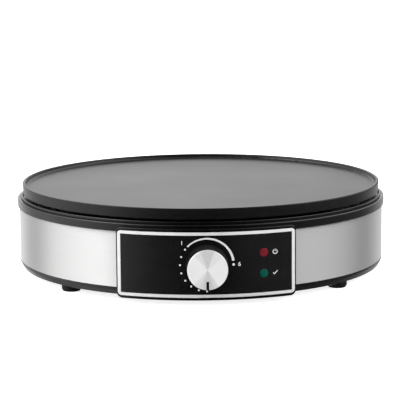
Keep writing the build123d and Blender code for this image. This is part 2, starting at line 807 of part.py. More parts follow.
def rubber_feet():
    foot = turned(
        [(m3_head_r + head_gap, 0), (foot_sole_r, 0), (foot_r, foot_h * 0.35), (foot_r, foot_h),
         (m3_r + slip, foot_h), (m3_r + slip, foot_head_depth), (m3_head_r + head_gap, foot_head_depth)],
        [0, 0, foot_round_r, 0, 0, 0, 0])
    return group([Pos(*at(foot_pcr, a)) * foot for a in foot_angles_deg])


def foot_screws():
    length = foot_h - foot_head_depth + floor_t + foot_screw_bite
    screw = pan_screw(m3_r, length, m3_head_r, m3_head_h)
    return group([Pos(*at(foot_pcr, a), foot_head_depth) * screw for a in foot_angles_deg])


# =====================================================================================
# Cord entry and terminal block
# =====================================================================================
def cord_gland():
    """Snap-in bush of the rear wall; z runs outwards through the wall."""
    wall_back = -(band_r - wall_in_r) - slip
    gland_front = gland_flange_t + seat_gap
    bush = turned([(gland_bore_r, wall_back - gland_snap_t), (gland_neck_r, wall_back - gland_snap_t),
                   (gland_snap_r, wall_back - gland_snap_t * 0.4), (gland_snap_r, wall_back),
                   (gland_neck_r, wall_back), (gland_neck_r, seat_gap), (gland_flange_r, seat_gap),
                   (gland_flange_r, gland_front - gland_bevel),
                   (gland_flange_r - gland_bevel, gland_front), (gland_bore_r, gland_front)])
    return outward(180, band_r, gland_z) * bush


def cord_clamp():
    """Arched bar across the cord, on the two bosses behind the gland."""
    end = clamp_boss_x + clamp_boss_r
    z = gland_z
    section = Rectangle(2 * end, clamp_t, align=(Align.CENTER, Align.MIN))
    section += Circle(gland_bore_r + clamp_t) & Rectangle(4 * end, 2 * end, align=(Align.CENTER, Align.MIN))
    section -= Circle(gland_bore_r)
    bar = extrude(section, amount=clamp_w / 2, both=True)
    bar = outward(180, clamp_y, z) * bar
    for x, y in clamp_boss_places():
        bar -= rod(x, y, m3_r + slip / 2, z - past, z + clamp_t + past)
    return bar


def clamp_screws():
    screw = Rot(180, 0, 0) * pan_screw(m3_r, clamp_t + clamp_bite, m3_head_r, m3_head_h)
    return group([Pos(x, y, gland_z + clamp_t) * screw for x, y in clamp_boss_places()])


def pole_places():
    return [(i - (block_poles - 1) / 2) * block_pitch for i in range(block_poles)]


def terminal_z():
    return floor_z + block_boss_h + block_foot_t + barrel_r - 1


def terminal_block():
    low = floor_z + block_boss_h
    z = terminal_z()
    end = block_screw_places()[1][0] + block_ear
    body = block(-end, end, block_y - block_ear, block_y + block_ear, low, low + block_foot_t)
    for x in pole_places():
        body += Pos(x, block_y, z) * Rot(90, 0, 0) * Cylinder(barrel_r, block_len)
        for y in tower_places():
            body += rod(x, y, tower_r, z, z + barrel_r + tower_h)
    for x in pole_places():
        body -= Pos(x, block_y, z) * Rot(90, 0, 0) * Cylinder(insert_r + seat_gap, block_len + 2)
        for y in tower_places():
            body -= rod(x, y, m3_r + slip / 2, z, z + barrel_r + tower_h + past)
    for x, y in block_screw_places():
        body -= rod(x, y, m3_r + slip / 2, low - past, low + block_foot_t + past)
    return body


def tower_places():
    return [block_y - block_len * 0.27, block_y + block_len * 0.27]


def block_screw_places():
    x = block_poles * block_pitch / 2 + block_ear - 1
    return [(-x, block_y), (x, block_y)]


def block_screws():
    screw = Rot(180, 0, 0) * pan_screw(m3_r, block_foot_t + block_boss_h, m3_head_r, m3_head_h)
    top = floor_z + block_boss_h + block_foot_t
    return group([Pos(x, y, top) * screw for x, y in block_screw_places()])


def terminal_inserts():
    inserts = []
    for x in pole_places():
        insert = Cylinder(insert_r, block_len - 2 * insert_depth) - Cylinder(insert_bore_r, block_len)
        insert = Pos(x, block_y, terminal_z()) * Rot(90, 0, 0) * insert
        for y in tower_places():
            insert -= rod(x, y, m3_r + thread_gap, terminal_z(), terminal_z() + barrel_r)
        inserts.append(insert)
    return group(inserts)


def terminal_screws():
    top = terminal_z() + barrel_r + tower_h - tower_sink
    low = terminal_z() + core_r + seat_gap
    return group([rod(x, y, m3_r, low, top) for x in pole_places() for y in tower_places()])


# =====================================================================================
# Control panel
# =====================================================================================
def lamp_planes(radius):
    """Planes on the panel's wall at the two lamps: the red one above, the green one below."""
    return [outward(lamp_angle_deg, radius, panel_z + side * lamp_step / 2) for side in (1, -1)]


def peg_places():
    return [(sx * peg_x, panel_z + sz * peg_z) for sx in (-1, 1) for sz in (-1, 1)]


def panel_housing():
    frame = curved_slab(panel_w, panel_h, panel_corner_r, panel_z, frame_back_r, panel_r)
    front_rim = frame.edges().filter_by(lambda e: all(abs(sqrt(v.X ** 2 + v.Y ** 2) - panel_r) < 0.01
                                                      for v in e.vertices()))
    frame = fillet(front_rim, frame_round_r)
    relief_z = band_top_z - slip
    frame -= tube(ring_r + slip, 1, relief_z, relief_z + panel_h)
    frame -= curved_slab(trim_w + 2 * seat_gap, trim_h + 2 * seat_gap, trim_corner_r, trim_z,
                         recess_r, panel_r + 5)

    # the box that reaches in through the band's gap
    box = curved_slab(box_w, box_h, box_corner_r, panel_z, box_in_r, frame_back_r + root)
    box -= curved_slab(box_w - 2 * wall_t, box_h - 2 * wall_t, box_corner_r - wall_t / 2, panel_z,
                       box_in_r - 5, frame_back_r)
    housing = frame + box
    for side in (-1, 1):
        housing += rod(side * lug_x, lug_y, lug_r, box_low_z, box_low_z + lug_h)
        hook_z = box_low_z + box_h - wall_t
        hook_y = -sqrt((wall_in_r - slip) ** 2 - hook_x ** 2)
        housing += block(side * hook_x - hook_w / 2, side * hook_x + hook_w / 2, hook_y + wall_t,
                         hook_y + 2 * wall_t, hook_z, band_top_z)
    rail = holder_w / 2 + seat_gap
    rails = block(-rail - rail_t, -rail, -holder_h / 2, holder_h / 2, -holder_depth, root)
    rails += block(rail, rail + rail_t, -holder_h / 2, holder_h / 2, -holder_depth, root)
    housing += outward(lamp_angle_deg, frame_back_r, panel_z) * rails

    for side in (-1, 1):
        housing -= rod(side * lug_x, lug_y, m3_r + thread_gap, box_low_z - past, box_low_z + lug_h - wall_t)
    housing -= knob_plane * Cylinder(spindle_r + 3, 2 * panel_proud + 4)
    for plane in lamp_planes(recess_r):
        housing -= plane * Cylinder(lens_flange_r + seat_gap * 2, 8)
    for x, z in peg_places():
        housing -= Pos(x, 0, z) * Rot(90, 0, 0) * Cylinder(peg_r + seat_gap, 2 * panel_r)
    return housing


def panel_trim():
    trim = curved_slab(trim_w, trim_h, trim_corner_r, trim_z, recess_r + seat_gap, panel_r + trim_proud)
    outer_rim = trim.edges().filter_by(lambda e: all(
        abs(sqrt(v.X ** 2 + v.Y ** 2) - panel_r - trim_proud) < 0.01 for v in e.vertices()))
    trim = chamfer(outer_rim, 0.25)
    return trim - curved_slab(fascia_w, fascia_h, 0.4, trim_z, recess_r - 1, panel_r + 5)


def panel_fascia():
    back = recess_r + seat_gap
    fascia = curved_slab(fascia_w - 2 * seat_gap, fascia_h - 2 * seat_gap, 0.4, trim_z, back, back + fascia_t)
    for x, z in peg_places():
        back_y = -sqrt(back ** 2 - x ** 2)
        length = peg_len + fascia_t / 2
        fascia += Pos(x, back_y + peg_len - length / 2, z) * Rot(90, 0, 0) * Cylinder(peg_r, length)
    fascia -= knob_plane * Cylinder(spindle_r + 0.8, 4 * panel_recess)
    for plane in lamp_planes(recess_r):
        fascia -= plane * Cylinder(lens_r + seat_gap, 10)
    return fascia


def panel_screws():
    seat = box_low_z - wall_t
    screw = pan_screw(m3_r, wall_t + lug_h - 3, m3_head_r, m3_head_h)
    return group([Pos(side * lug_x, lug_y, seat) * screw for side in (-1, 1)])


def lens(plane):
    """Domed lens with a flange behind the fascia; z runs out of the panel."""
    stem = fascia_t + 3 * seat_gap + lens_proud
    shape = turned([(0, -lens_flange_t), (lens_flange_r, -lens_flange_t), (lens_flange_r, 0),
                    (lens_r, 0), (lens_r, stem - 0.4), (lens_r * 0.55, stem), (0, stem)],
                   [0, 0, 0, 0, 0.6, 2.5, 0])
    return plane * Pos(0, 0, -2 * seat_gap) * shape


def lamp_holder():
    holder = block(-holder_w / 2, holder_w / 2, -holder_h / 2, holder_h / 2, -holder_depth, -slip)
    bore = Cylinder(lamp_r + 2 * seat_gap, 3 * holder_depth)
    for side in (-1, 1):
        holder -= Pos(0, side * lamp_step / 2, 0) * bore
    holder -= block(-2.5, 2.5, -3, 3, -2 * holder_depth, -holder_depth + 3)
    return outward(lamp_angle_deg, frame_back_r, panel_z) * holder


def neon_lamps():
    bulb = turned([(0, -lamp_len), (lamp_r * 0.7, -lamp_len), (lamp_r, -lamp_len * 0.9),
                   (lamp_r, -lamp_r * 0.6), (lamp_r * 0.6, 0), (0, 0)])
    return group([plane * Pos(0, 0, -slip) * bulb for plane in lamp_planes(frame_back_r)])


# =====================================================================================
# Knob and thermostat: drawn on the knob's plane, z out of the panel
# =====================================================================================
def knob_body():
    cap_z = knob_reach - cap_t
    face_z = cap_z
    web_z = face_z - knob_web
    inner_base = knob_base_r - knob_wall
    inner_face = knob_face_r - knob_wall
    shell = turned(
        [(0, web_z), (inner_face, web_z), (inner_base, knob_gap), (knob_base_r - knob_bevel, knob_gap),
         (knob_base_r, knob_gap + knob_bevel), (knob_base_r - 0.15, knob_gap + knob_foot_h),
         (knob_face_r, face_z - knob_bevel), (knob_face_r - knob_bevel, face_z), (0, face_z)])
    shell += tube(knob_hub_r, spindle_r + seat_gap, knob_gap, web_z + root)
    flat_y = spindle_r - spindle_flat + seat_gap
    start_z = spindle_in_knob - flat_len + seat_gap
    shell += block(-spindle_r, spindle_r, flat_y, spindle_r + root, start_z, web_z + root)
    for angle in around(knob_rib_count, knob_rib_start_deg):
        rib = block(knob_hub_r - root, inner_face + root, -knob_rib_t / 2, knob_rib_t / 2,
                    knob_gap + knob_rib_gap, web_z + root)
        shell += Rot(0, 0, angle) * rib
    shell += block(-pointer_w / 2 + seat_gap, pointer_w / 2 - seat_gap, -cap_r + cap_edge,
                   -cap_r + pointer_len - seat_gap, face_z - root, knob_reach - pointer_sink)
    return knob_plane * shell


def knob_cap():
    cap = turned([(0, knob_reach - cap_t), (cap_r, knob_reach - cap_t), (cap_r, knob_reach - cap_edge),
                  (cap_r - cap_edge, knob_reach), (0, knob_reach)])
    slot = block(-pointer_w / 2, pointer_w / 2, -cap_r - 1, -cap_r + pointer_len, 0, knob_reach + 1)
    return knob_plane * (cap - slot)


frame_front = -bracket_depth - sheet_t         # thermostat frame, behind the bracket
frame_rear = frame_front - sheet_t
spring_1 = frame_rear - ceramic_t              # front face of the first contact spring
spring_2 = spring_1 - blade_t - ceramic_step   # front face of the second one
bimetal_z = spring_2 - blade_t - ceramic_step
stack_rear = bimetal_z - bimetal_t
stop_z = -bracket_depth + bush_front + slip


def thermostat_spindle():
    rear = spring_1 + tip_gap + tip_len
    spindle = rod(0, 0, spindle_r, rear, spindle_in_knob)
    neck = rod(0, 0, spindle_r * 0.6, rear - tip_len * 0.6, rear)
    flat = block(-spindle_r, spindle_r, spindle_r - spindle_flat, spindle_r + 1,
                 spindle_in_knob - flat_len, spindle_in_knob + 1)
    arm_reach = stop_r * 0.9
    arm = rod(0, 0, spindle_r + 1.4, stop_z, stop_z + stop_t)
    half_w = arm_reach * sin(radians(stop_arm_half_deg))
    arm += block(-half_w, half_w, -arm_reach, 0, stop_z, stop_z + stop_t)
    return knob_plane * (spindle + neck - flat + arm)


def spindle_tip():
    rear = spring_1 + tip_gap
    tip = rod(0, 0, tip_r, rear, rear + tip_len)
    return knob_plane * (tip - rod(0, 0, spindle_r * 0.6 + seat_gap, rear + tip_len * 0.4 - seat_gap,
                                   rear + tip_len + 1))


def thermostat_bush():
    front = -bracket_depth + bush_front
    bore = spindle_r + running_gap
    body = tube(bush_r, bore, frame_front, front)
    tail = tube(bush_tail_r, bore, frame_rear - 0.8, frame_front)
    return knob_plane * (body + tail)


def thermostat_bracket():
    """Steel angle: its foot is screwed under the plate, its upright carries the frame."""
    plate_y = element_z - panel_z              # foot's upper face, on the plane of the knob
    front, rear = -bracket_depth, -bracket_depth - sheet_t
    foot_end = -bracket_depth - bracket_foot
    corner = FilletPolyline((rear, -bracket_low), (front, -bracket_low), (front, plate_y),
                            (foot_end, plate_y), (foot_end, plate_y - sheet_t), (rear, plate_y - sheet_t),
                            radius=[0, 0, 2.4, 0, 0, 1.2], close=True)
    side_view = Plane(origin=(0, 0, 0), x_dir=(0, 0, 1), z_dir=(-1, 0, 0)) * make_face(corner)
    angle = extrude(side_view, amount=bracket_half_w, both=True)
    side = block(stack_x - ceramic_r - 3, 0, -bracket_low, bracket_low, rear, front)
    angle += side
    angle -= rod(0, 0, stop_r + 2, rear - past, front + past)
    angle -= rod(stack_x, 0, rivet_head_r + slip * 2, rear - past, front + past)
    for side_y in (-1, 1):
        angle -= rod(frame_screw_x, side_y * frame_screw_y, m3_r + thread_gap, rear - past, front + past)
    bracket = knob_plane * angle
    for x, y in bracket_screw_places():
        bracket -= rod(x, y, plate_screw_r + slip / 2, element_z - 5, element_z + past)
    return bracket


def thermostat_frame():
    low_x = stack_x - ceramic_r - 1
    high_x = frame_screw_x + 3.5
    plate = block(low_x, high_x, -frame_screw_y - 3, frame_screw_y + 3, frame_rear, frame_front)
    # the stop that the spindle's arm meets just past each end of its travel
    tab_half = (360 - knob_travel_deg) / 2 - stop_arm_half_deg - stop_slack_deg
    tab_mid = -90 + (360 - knob_travel_deg) / 2    # the arm rests at -90 and turns clockwise
    section = Pos(stop_r, 0) * Rectangle(sheet_t * 1.6, stop_z + stop_t - frame_rear,
                                         align=(Align.CENTER, Align.MIN))
    tab = revolve(Plane.XZ * section, Axis.Z, 2 * tab_half)
    tab = Pos(0, 0, frame_rear) * Rot(0, 0, tab_mid - tab_half) * tab
    plate += tab
    plate -= rod(0, 0, bush_tail_r + seat_gap, frame_rear - past, frame_front + past)
    plate -= rod(stack_x, 0, rivet_r + seat_gap, frame_rear - past, frame_front + past)
    for side in (-1, 1):
        plate -= rod(frame_screw_x, side * frame_screw_y, m3_r + slip / 2,
                     frame_rear - past, frame_front + past)
    return knob_plane * plate


def frame_screws():
    screw = pan_screw(m3_r, 2 * sheet_t + 0.8, m3_head_r, m3_head_h)
    return group([knob_plane * Pos(frame_screw_x, side * frame_screw_y, frame_rear) * screw
                  for side in (-1, 1)])


def bracket_screws():
    reach = surface_z - plate_boss_wall - 1 - element_z + sheet_t
    screw = pan_screw(plate_screw_r, reach, plate_head_r, plate_head_h)
    return group([Pos(x, y, element_z - sheet_t) * screw for x, y in bracket_screw_places()])


def thermostat_ceramics():
    hole = rivet_r + seat_gap
    rings = []
    for rear, front in ((spring_1, frame_rear), (spring_2, spring_1 - blade_t),
                        (bimetal_z, spring_2 - blade_t)):
        rings.append(knob_plane * Pos(stack_x, 0, 0) * tube(ceramic_r, hole, rear, front))
    return group(rings)


def spring_blade(front, tab_down):
    """Contact spring: a strip from the stack past the spindle, with a push-on tab."""
    rear = front - blade_t
    strip = block(stack_x, blade_end, -blade_w / 2, blade_w / 2, rear, front)
    strip += rod(stack_x, 0, blade_w / 2, rear, front)
    if tab_down:
        strip += block(stack_x - tab_w / 2, stack_x + tab_w / 2, -ceramic_r - tab_len / 2, 0, rear, front)
    else:
        strip += block(stack_x - ceramic_r - tab_len / 2, stack_x, -tab_w / 2, tab_w / 2, rear, front)
    strip -= rod(stack_x, 0, rivet_r + seat_gap, rear - past, front + past)
    return knob_plane * strip


def thermostat_contacts():
    first = rod(contact_x, 0, contact_r, spring_1 - blade_t - contact_t, spring_1 - blade_t)
    second = rod(contact_x, 0, contact_r, spring_2, spring_2 + contact_t)
    return group([knob_plane * first, knob_plane * second])


def bimetal_strip():
    strip = block(stack_x, contact_x, -bimetal_w / 2, bimetal_w / 2, stack_rear, bimetal_z)
    strip += rod(stack_x, 0, bimetal_w / 2, stack_rear, bimetal_z)
    return knob_plane * (strip - rod(stack_x, 0, rivet_r + seat_gap, stack_rear - past, bimetal_z + past))


def push_pin():
    return knob_plane * rod(push_pin_x, 0, push_pin_r, bimetal_z, spring_2 - blade_t - push_pin_gap)


def stack_rivet():
    shank = rod(stack_x, 0, rivet_r, stack_rear, frame_front)
    heads = rod(stack_x, 0, rivet_head_r, stack_rear - rivet_head_t, stack_rear)
    heads += rod(stack_x, 0, rivet_head_r, frame_front, frame_front + rivet_head_t)
    return knob_plane * (shank + heads)


# =====================================================================================
# Fuse and earth point under the plate
# =====================================================================================
def thermal_fuse():
    barrel = Rot(90, 0, 0) * Cylinder(fuse_r, fuse_len)
    wires = Rot(90, 0, 0) * Cylinder(fuse_wire_r, 2 * crimp_mid_y - fuse_wire_gap)
    return fuse_frame() * (barrel + wires)


def fuse_clip():
    return fuse_frame() * saddle_clip(fuse_r, fuse_clip_hole, fuse_clip_ear, clip_w)


def fuse_screw():
    screw = pan_screw(m3_r, m3_bite + clip_t, m3_head_r, m3_head_h)
    return fuse_frame() * Pos(fuse_clip_hole, 0, -clip_t) * screw


def earth_screw():
    x, y = earth_place()
    tag_t = sheet_t
    reach = surface_z - plate_boss_wall - 1 - element_z + tag_t
    return Pos(x, y, element_z - tag_t) * pan_screw(plate_screw_r, reach, plate_head_r, plate_head_h)


# =====================================================================================
# Leads
# =====================================================================================
def push_on(tab_t, flag):
    """Push-on terminal: z runs up the tab from its tip, x across it. A flag's barrels leave along y."""
    half_t = tab_t / 2 + push_on_wall
    sleeve = block(-push_on_w / 2, push_on_w / 2, -half_t, half_t, -push_on_wall, push_on_len)
    sleeve -= block(-tab_w / 2 - seat_gap, tab_w / 2 + seat_gap, -tab_t / 2 - seat_gap, tab_t / 2 + seat_gap,
                    -seat_gap, push_on_len + past)
    for x, bore_r in ((main_barrel_x, core_r), (lamp_barrel_x, lamp_lead_r)):
        barrel = rod(0, 0, bore_r + seat_gap + barrel_wall, -barrel_len, 0)
        barrel -= rod(0, 0, bore_r + seat_gap, -barrel_len - past, -push_on_wall)
        sleeve += barrel_frame(tab_t, flag, x) * barrel
    return sleeve


def barrel_frame(tab_t, flag, x):
    """Where a barrel starts on its push-on: the lead leaves along this frame's -z."""
    if flag:
        return Pos(x, tab_t / 2 + push_on_wall - seat_gap, push_on_len / 2) * Rot(90, 0, 0)
    return Pos(x, 0, -push_on_wall + seat_gap)


def pin_frames():
    tip = element_z - bend_r - leg_len - pin_len + past - pin_tab_len
    return [Location((x, y, tip)) for x, y in leg_places()]


def upper_tab_frame():
    """The upper contact spring's tab points to the left."""
    x = stack_x - ceramic_r - tab_len / 2
    y = -panel_r - spring_1 + blade_t / 2
    return Location((x, y, panel_z)) * Rot(0, 90, 0) * Rot(0, 0, 180)


def lower_tab_frame():
    """The lower contact spring's tab points down."""
    y = -panel_r - spring_2 + blade_t / 2
    return Location((stack_x, y, panel_z - ceramic_r - tab_len / 2))


def push_on_terminals():
    pieces = [frame * push_on(pin_tab_t, False) for frame in pin_frames()]
    pieces.append(upper_tab_frame() * push_on(blade_t, False))
    pieces.append(lower_tab_frame() * push_on(blade_t, True))
    return group(pieces)


def barrel_mouth(frame, tab_t, flag, x):
    """Point just outside a barrel's open end, and a point further along its line."""
    line = frame * barrel_frame(tab_t, flag, x)
    mouth = (line * Pos(0, 0, -barrel_len - lead_gap)).position
    ahead = (line * Pos(0, 0, -barrel_len - lead_bend_r)).position
    return mouth, ahead


def lead(route, radius, bites, bend_r):
    """Lead along its route, with bare core beyond each end by its bite."""
    path = FilletPolyline(*route, radius=bend_r)
    start = Plane(origin=path @ 0, z_dir=path % 0)
    wire = sweep(start * Circle(radius), path=path)
    for end, direction, bite in ((path @ 0, -(path % 0), bites[0]), (path @ 1, path % 1, bites[1])):
        if bite:
            plane = Plane(origin=end, z_dir=direction)
            wire += plane * Pos(0, 0, bite / 2) * Cylinder(core_r if radius > core_r else radius, bite)
    return wire


def block_mouth(pole):
    """Inner end of a terminal block pole, and the next point of the lead from it."""
    x = pole_places()[pole]
    y = block_y - block_len / 2 - lead_gap
    return Vector(x, y, terminal_z()), Vector(x, y - 1.1 * lead_bend_r, terminal_z())


def fuse_mouth(side):
    y = side * (crimp_mid_y + crimp_len / 2 + lead_gap)
    z = under_z - fuse_r - seat_gap
    return Vector(mid_loop_r, y, z), Vector(mid_loop_r, y + side * 1.8 * lead_bend_r, z)


block_bite = block_len * 0.75
fuse_bite = crimp_len / 2 - fuse_wire_gap / 2
rest_z = floor_z + rib_h + lead_r + lead_gap       # leads lie on the base's ribs


def way(a, b, share_x, share_y, z):
    """Point of a lead's way at height z, from its shares of the distance from a to b."""
    return a.X + share_x * (b.X - a.X), a.Y + share_y * (b.Y - a.Y), z


def live_lead():
    end, ahead = fuse_mouth(1)
    start, down = block_mouth(2)
    hole = Vector(shield_hole_x, shield_hole_y, rest_z)
    route = [start, down, way(down, hole, 0.18, 0.44, rest_z), way(down, hole, 0.82, 0.75, rest_z),
             hole, (hole.X, hole.Y, shield_z), ahead, end]
    return lead(route, lead_r, (block_bite, fuse_bite), lead_bend_r * 0.8)


def fuse_lead():
    start, ahead = fuse_mouth(-1)
    end, before = barrel_mouth(upper_tab_frame(), blade_t, False, main_barrel_x)
    hole = Vector(shield_hole_x, -shield_hole_y, rest_z)
    shares = ((0.2, 0.51), (0.53, 0.79), (0.92, 0.82), (1, 0.91))
    route = [start, ahead, (hole.X, hole.Y, shield_z), hole,
             *[way(hole, before, x, y, rest_z) for x, y in shares], before, end]
    return lead(route, lead_r, (fuse_bite, core_bite), lead_bend_r * 0.8)


def thermostat_lead():
    start, ahead = barrel_mouth(lower_tab_frame(), blade_t, True, main_barrel_x)
    end, before = barrel_mouth(pin_frames()[0], pin_tab_t, False, main_barrel_x)
    shares = (0.08, 0.29, 0.61, 0.83)
    route = [start, ahead, *[(-x, way(ahead, before, 0, y, 0)[1], rest_z) for x, y in zip(switch_way_x, shares)],
             (before.X, before.Y - 2 * lead_bend_r, before.Z), before, end]
    return lead(route, lead_r, (core_bite, core_bite), lead_bend_r * 0.7)


def neutral_lead():
    start, down = block_mouth(1)
    end, before = barrel_mouth(pin_frames()[1], pin_tab_t, False, main_barrel_x)
    route = [start, down, way(down, before, 0.26, 0.3, rest_z), way(down, before, 1, 0.63, rest_z),
             way(down, before, 1, 1, rest_z), end]
    return lead(route, lead_r, (block_bite, core_bite), lead_bend_r * 0.8)


def earth_tag_frame():
    """Ring tag under the earth screw: its tail points at the hole that the lead comes through."""
    x, y = earth_place()
    turn = degrees(atan2(earth_hole_y - y, -shield_hole_x - x))
    return Location((x, y, element_z - sheet_t), (0, 0, turn))


def earth_tag():
    neck_end = tag_r + tag_neck
    tag = rod(0, 0, tag_r, 0, sheet_t - seat_gap)
    tag += block(0, neck_end + past, -2 * core_r, 2 * core_r, 0, sheet_t / 2)
    barrel = Pos(neck_end + barrel_len / 2, 0, sheet_t / 2) * Rot(0, 90, 0) * Cylinder(lead_r, barrel_len)
    bore = Cylinder(core_r + seat_gap, 2 * (barrel_len - past))
    tag += barrel - Pos(neck_end + barrel_len, 0, sheet_t / 2) * Rot(0, 90, 0) * bore
    tag -= rod(0, 0, plate_screw_r + slip / 2, -past, sheet_t + past)
    return earth_tag_frame() * tag


def earth_lead():
    start, down = block_mouth(0)
    mouth = tag_r + tag_neck + barrel_len + lead_gap
    end = (earth_tag_frame() * Pos(mouth, 0, sheet_t / 2)).position
    ahead = (earth_tag_frame() * Pos(mouth + lead_bend_r, 0, sheet_t / 2)).position
    hole = Vector(-shield_hole_x, earth_hole_y, rest_z)
    shares = ((0.05, 0.14), (0.33, 0.24), (0.69, 0.64))
    route = [start, down, *[way(down, hole, x, y, rest_z) for x, y in shares],
             hole, (hole.X, hole.Y, shield_z + 2 * lead_r), ahead, end]
    return lead(route, lead_r, (block_bite, barrel_len - 2 * past), lead_bend_r * 0.7)


def crimps():
    """Crimp sleeves that join the fuse's wires to their leads."""
    z = under_z - fuse_r - seat_gap
    bore_r = core_r + seat_gap
    sleeve = Cylinder(bore_r + barrel_wall, crimp_len) - Cylinder(bore_r, crimp_len + past)
    return group([Pos(mid_loop_r, side * crimp_mid_y, z) * Rot(90, 0, 0) * sleeve for side in (-1, 1)])


def lamp_wire_start(lamp, side, drop=0.0):
    """Point on a lamp's rear end, on one side of its middle, and a point further in."""
    plane = lamp_planes(frame_back_r)[lamp]
    x = side * lamp_r * 0.45
    back = plane.from_local_coords((x, -drop, -slip - lamp_len - seat_gap))
    ahead = plane.from_local_coords((x, -drop, -slip - lamp_len - 4 * lamp_lead_r - lead_bend_r))
    return back, ahead


def lamp_leads():
    """Four thin wires: one from each switched side, one between the lamps, one to the neutral pin."""
    bend = lead_bend_r / 2
    red, red_ahead = lamp_wire_start(0, -1)
    green, green_ahead = lamp_wire_start(1, -1)
    red_n, red_n_ahead = lamp_wire_start(0, 1)
    green_n, green_n_ahead = lamp_wire_start(1, 1)
    neutral, neutral_ahead = lamp_wire_start(1, 1, 2 * lamp_lead_r + lead_gap)
    upper, upper_before = barrel_mouth(upper_tab_frame(), blade_t, False, lamp_barrel_x)
    lower, lower_before = barrel_mouth(lower_tab_frame(), blade_t, True, lamp_barrel_x)
    pin, pin_before = barrel_mouth(pin_frames()[1], pin_tab_t, False, lamp_barrel_x)
    over_z = panel_z + panel_h / 5
    cross_y = -panel_r + lamp_way_depth
    low_z = floor_z + rib_h + lamp_lead_r + lead_gap
    hop_z = rest_z + lead_r + lamp_lead_r + 2 * lead_gap       # over the fuse's lead
    shares = ((0.03, 0.08, hop_z), (0.27, 0.21, hop_z), (0.5, 0.37, low_z), (0.62, 0.79, low_z), (0.94, 0.96, low_z))
    routes = [
        [red, red_ahead, (way(red_ahead, upper_before, 0.14, 0, 0)[0], cross_y, over_z),
         (way(red_ahead, upper_before, 0.92, 0, 0)[0], cross_y, over_z),
         (upper_before.X, (cross_y + upper_before.Y) / 2, upper_before.Z + 2 * lead_r), upper_before, upper],
        [green, green_ahead, (way(green_ahead, lower_before, 0.38, 0, 0)[0], cross_y, lower.Z), lower_before, lower],
        [red_n, red_n_ahead, green_n_ahead, green_n],
        [neutral, neutral_ahead, *[way(neutral_ahead, pin_before, *share) for share in shares], pin_before, pin],
    ]
    return group([lead(route, lamp_lead_r, (0, 0), bend) for route in routes])


# =====================================================================================
# All nodes
# =====================================================================================
red_plane, green_plane = lamp_planes(recess_r)
nodes = {
    "hotplate": hotplate(),
    "heating_element": heating_element(),
    "element_seals": element_seals(),
    "element_pins": element_pins(),
    "element_clips": element_clips(),
    "element_clip_screws": clip_screws(),
    "heat_shield": heat_shield(),
    "plate_spacers": plate_spacers(),
    "plate_screws": plate_screws(),
    "upper_ring": upper_ring(),
    "steel_band": steel_band(),
    "base_shell": base_shell(),
    "case_screws": case_screws(),
    "rubber_feet": rubber_feet(),
    "foot_screws": foot_screws(),
    "cord_gland": cord_gland(),
    "cord_clamp": cord_clamp(),
    "cord_clamp_screws": clamp_screws(),
    "terminal_block": terminal_block(),
    "terminal_inserts": terminal_inserts(),
    "terminal_screws": terminal_screws(),
    "terminal_block_screws": block_screws(),
    "panel_housing": panel_housing(),
    "panel_trim": panel_trim(),
    "panel_fascia": panel_fascia(),
    "panel_screws": panel_screws(),
    "red_lens": lens(red_plane),
    "green_lens": lens(green_plane),
    "lamp_holder": lamp_holder(),
    "neon_lamps": neon_lamps(),
    "knob_body": knob_body(),
    "knob_cap": knob_cap(),
    "thermostat_spindle": thermostat_spindle(),
    "spindle_tip": spindle_tip(),
    "thermostat_bush": thermostat_bush(),
    "thermostat_bracket": thermostat_bracket(),
    "thermostat_frame": thermostat_frame(),
    "frame_screws": frame_screws(),
    "bracket_screws": bracket_screws(),
    "thermostat_ceramics": thermostat_ceramics(),
    "upper_contact_spring": spring_blade(spring_1, tab_down=False),
    "lower_contact_spring": spring_blade(spring_2, tab_down=True),
    "thermostat_contacts": thermostat_contacts(),
    "bimetal_strip": bimetal_strip(),
    "push_pin": push_pin(),
    "stack_rivet": stack_rivet(),
    "thermal_fuse": thermal_fuse(),
    "fuse_clip": fuse_clip(),
    "fuse_screw": fuse_screw(),
    "earth_screw": earth_screw(),
    "earth_tag": earth_tag(),
    "push_on_terminals": push_on_terminals(),
    "fuse_crimps": crimps(),
    "live_lead": live_lead(),
    "fuse_lead": fuse_lead(),
    "thermostat_lead": thermostat_lead(),
    "neutral_lead": neutral_lead(),
    "earth_lead": earth_lead(),
    "lamp_leads": lamp_leads(),
}

os.makedirs("parts", exist_ok=True)
for name, shape in nodes.items():
    export_step(Pos(0, origin_shift, 0) * shape, f"parts/{name}.step")
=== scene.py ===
"""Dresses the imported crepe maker: a finish for every part, the printing on its panel, and a plain studio."""
import json
import math

import bpy
from bpy.props import FloatProperty, FloatVectorProperty, IntProperty, PointerProperty, StringProperty
from mathutils import Matrix, Vector


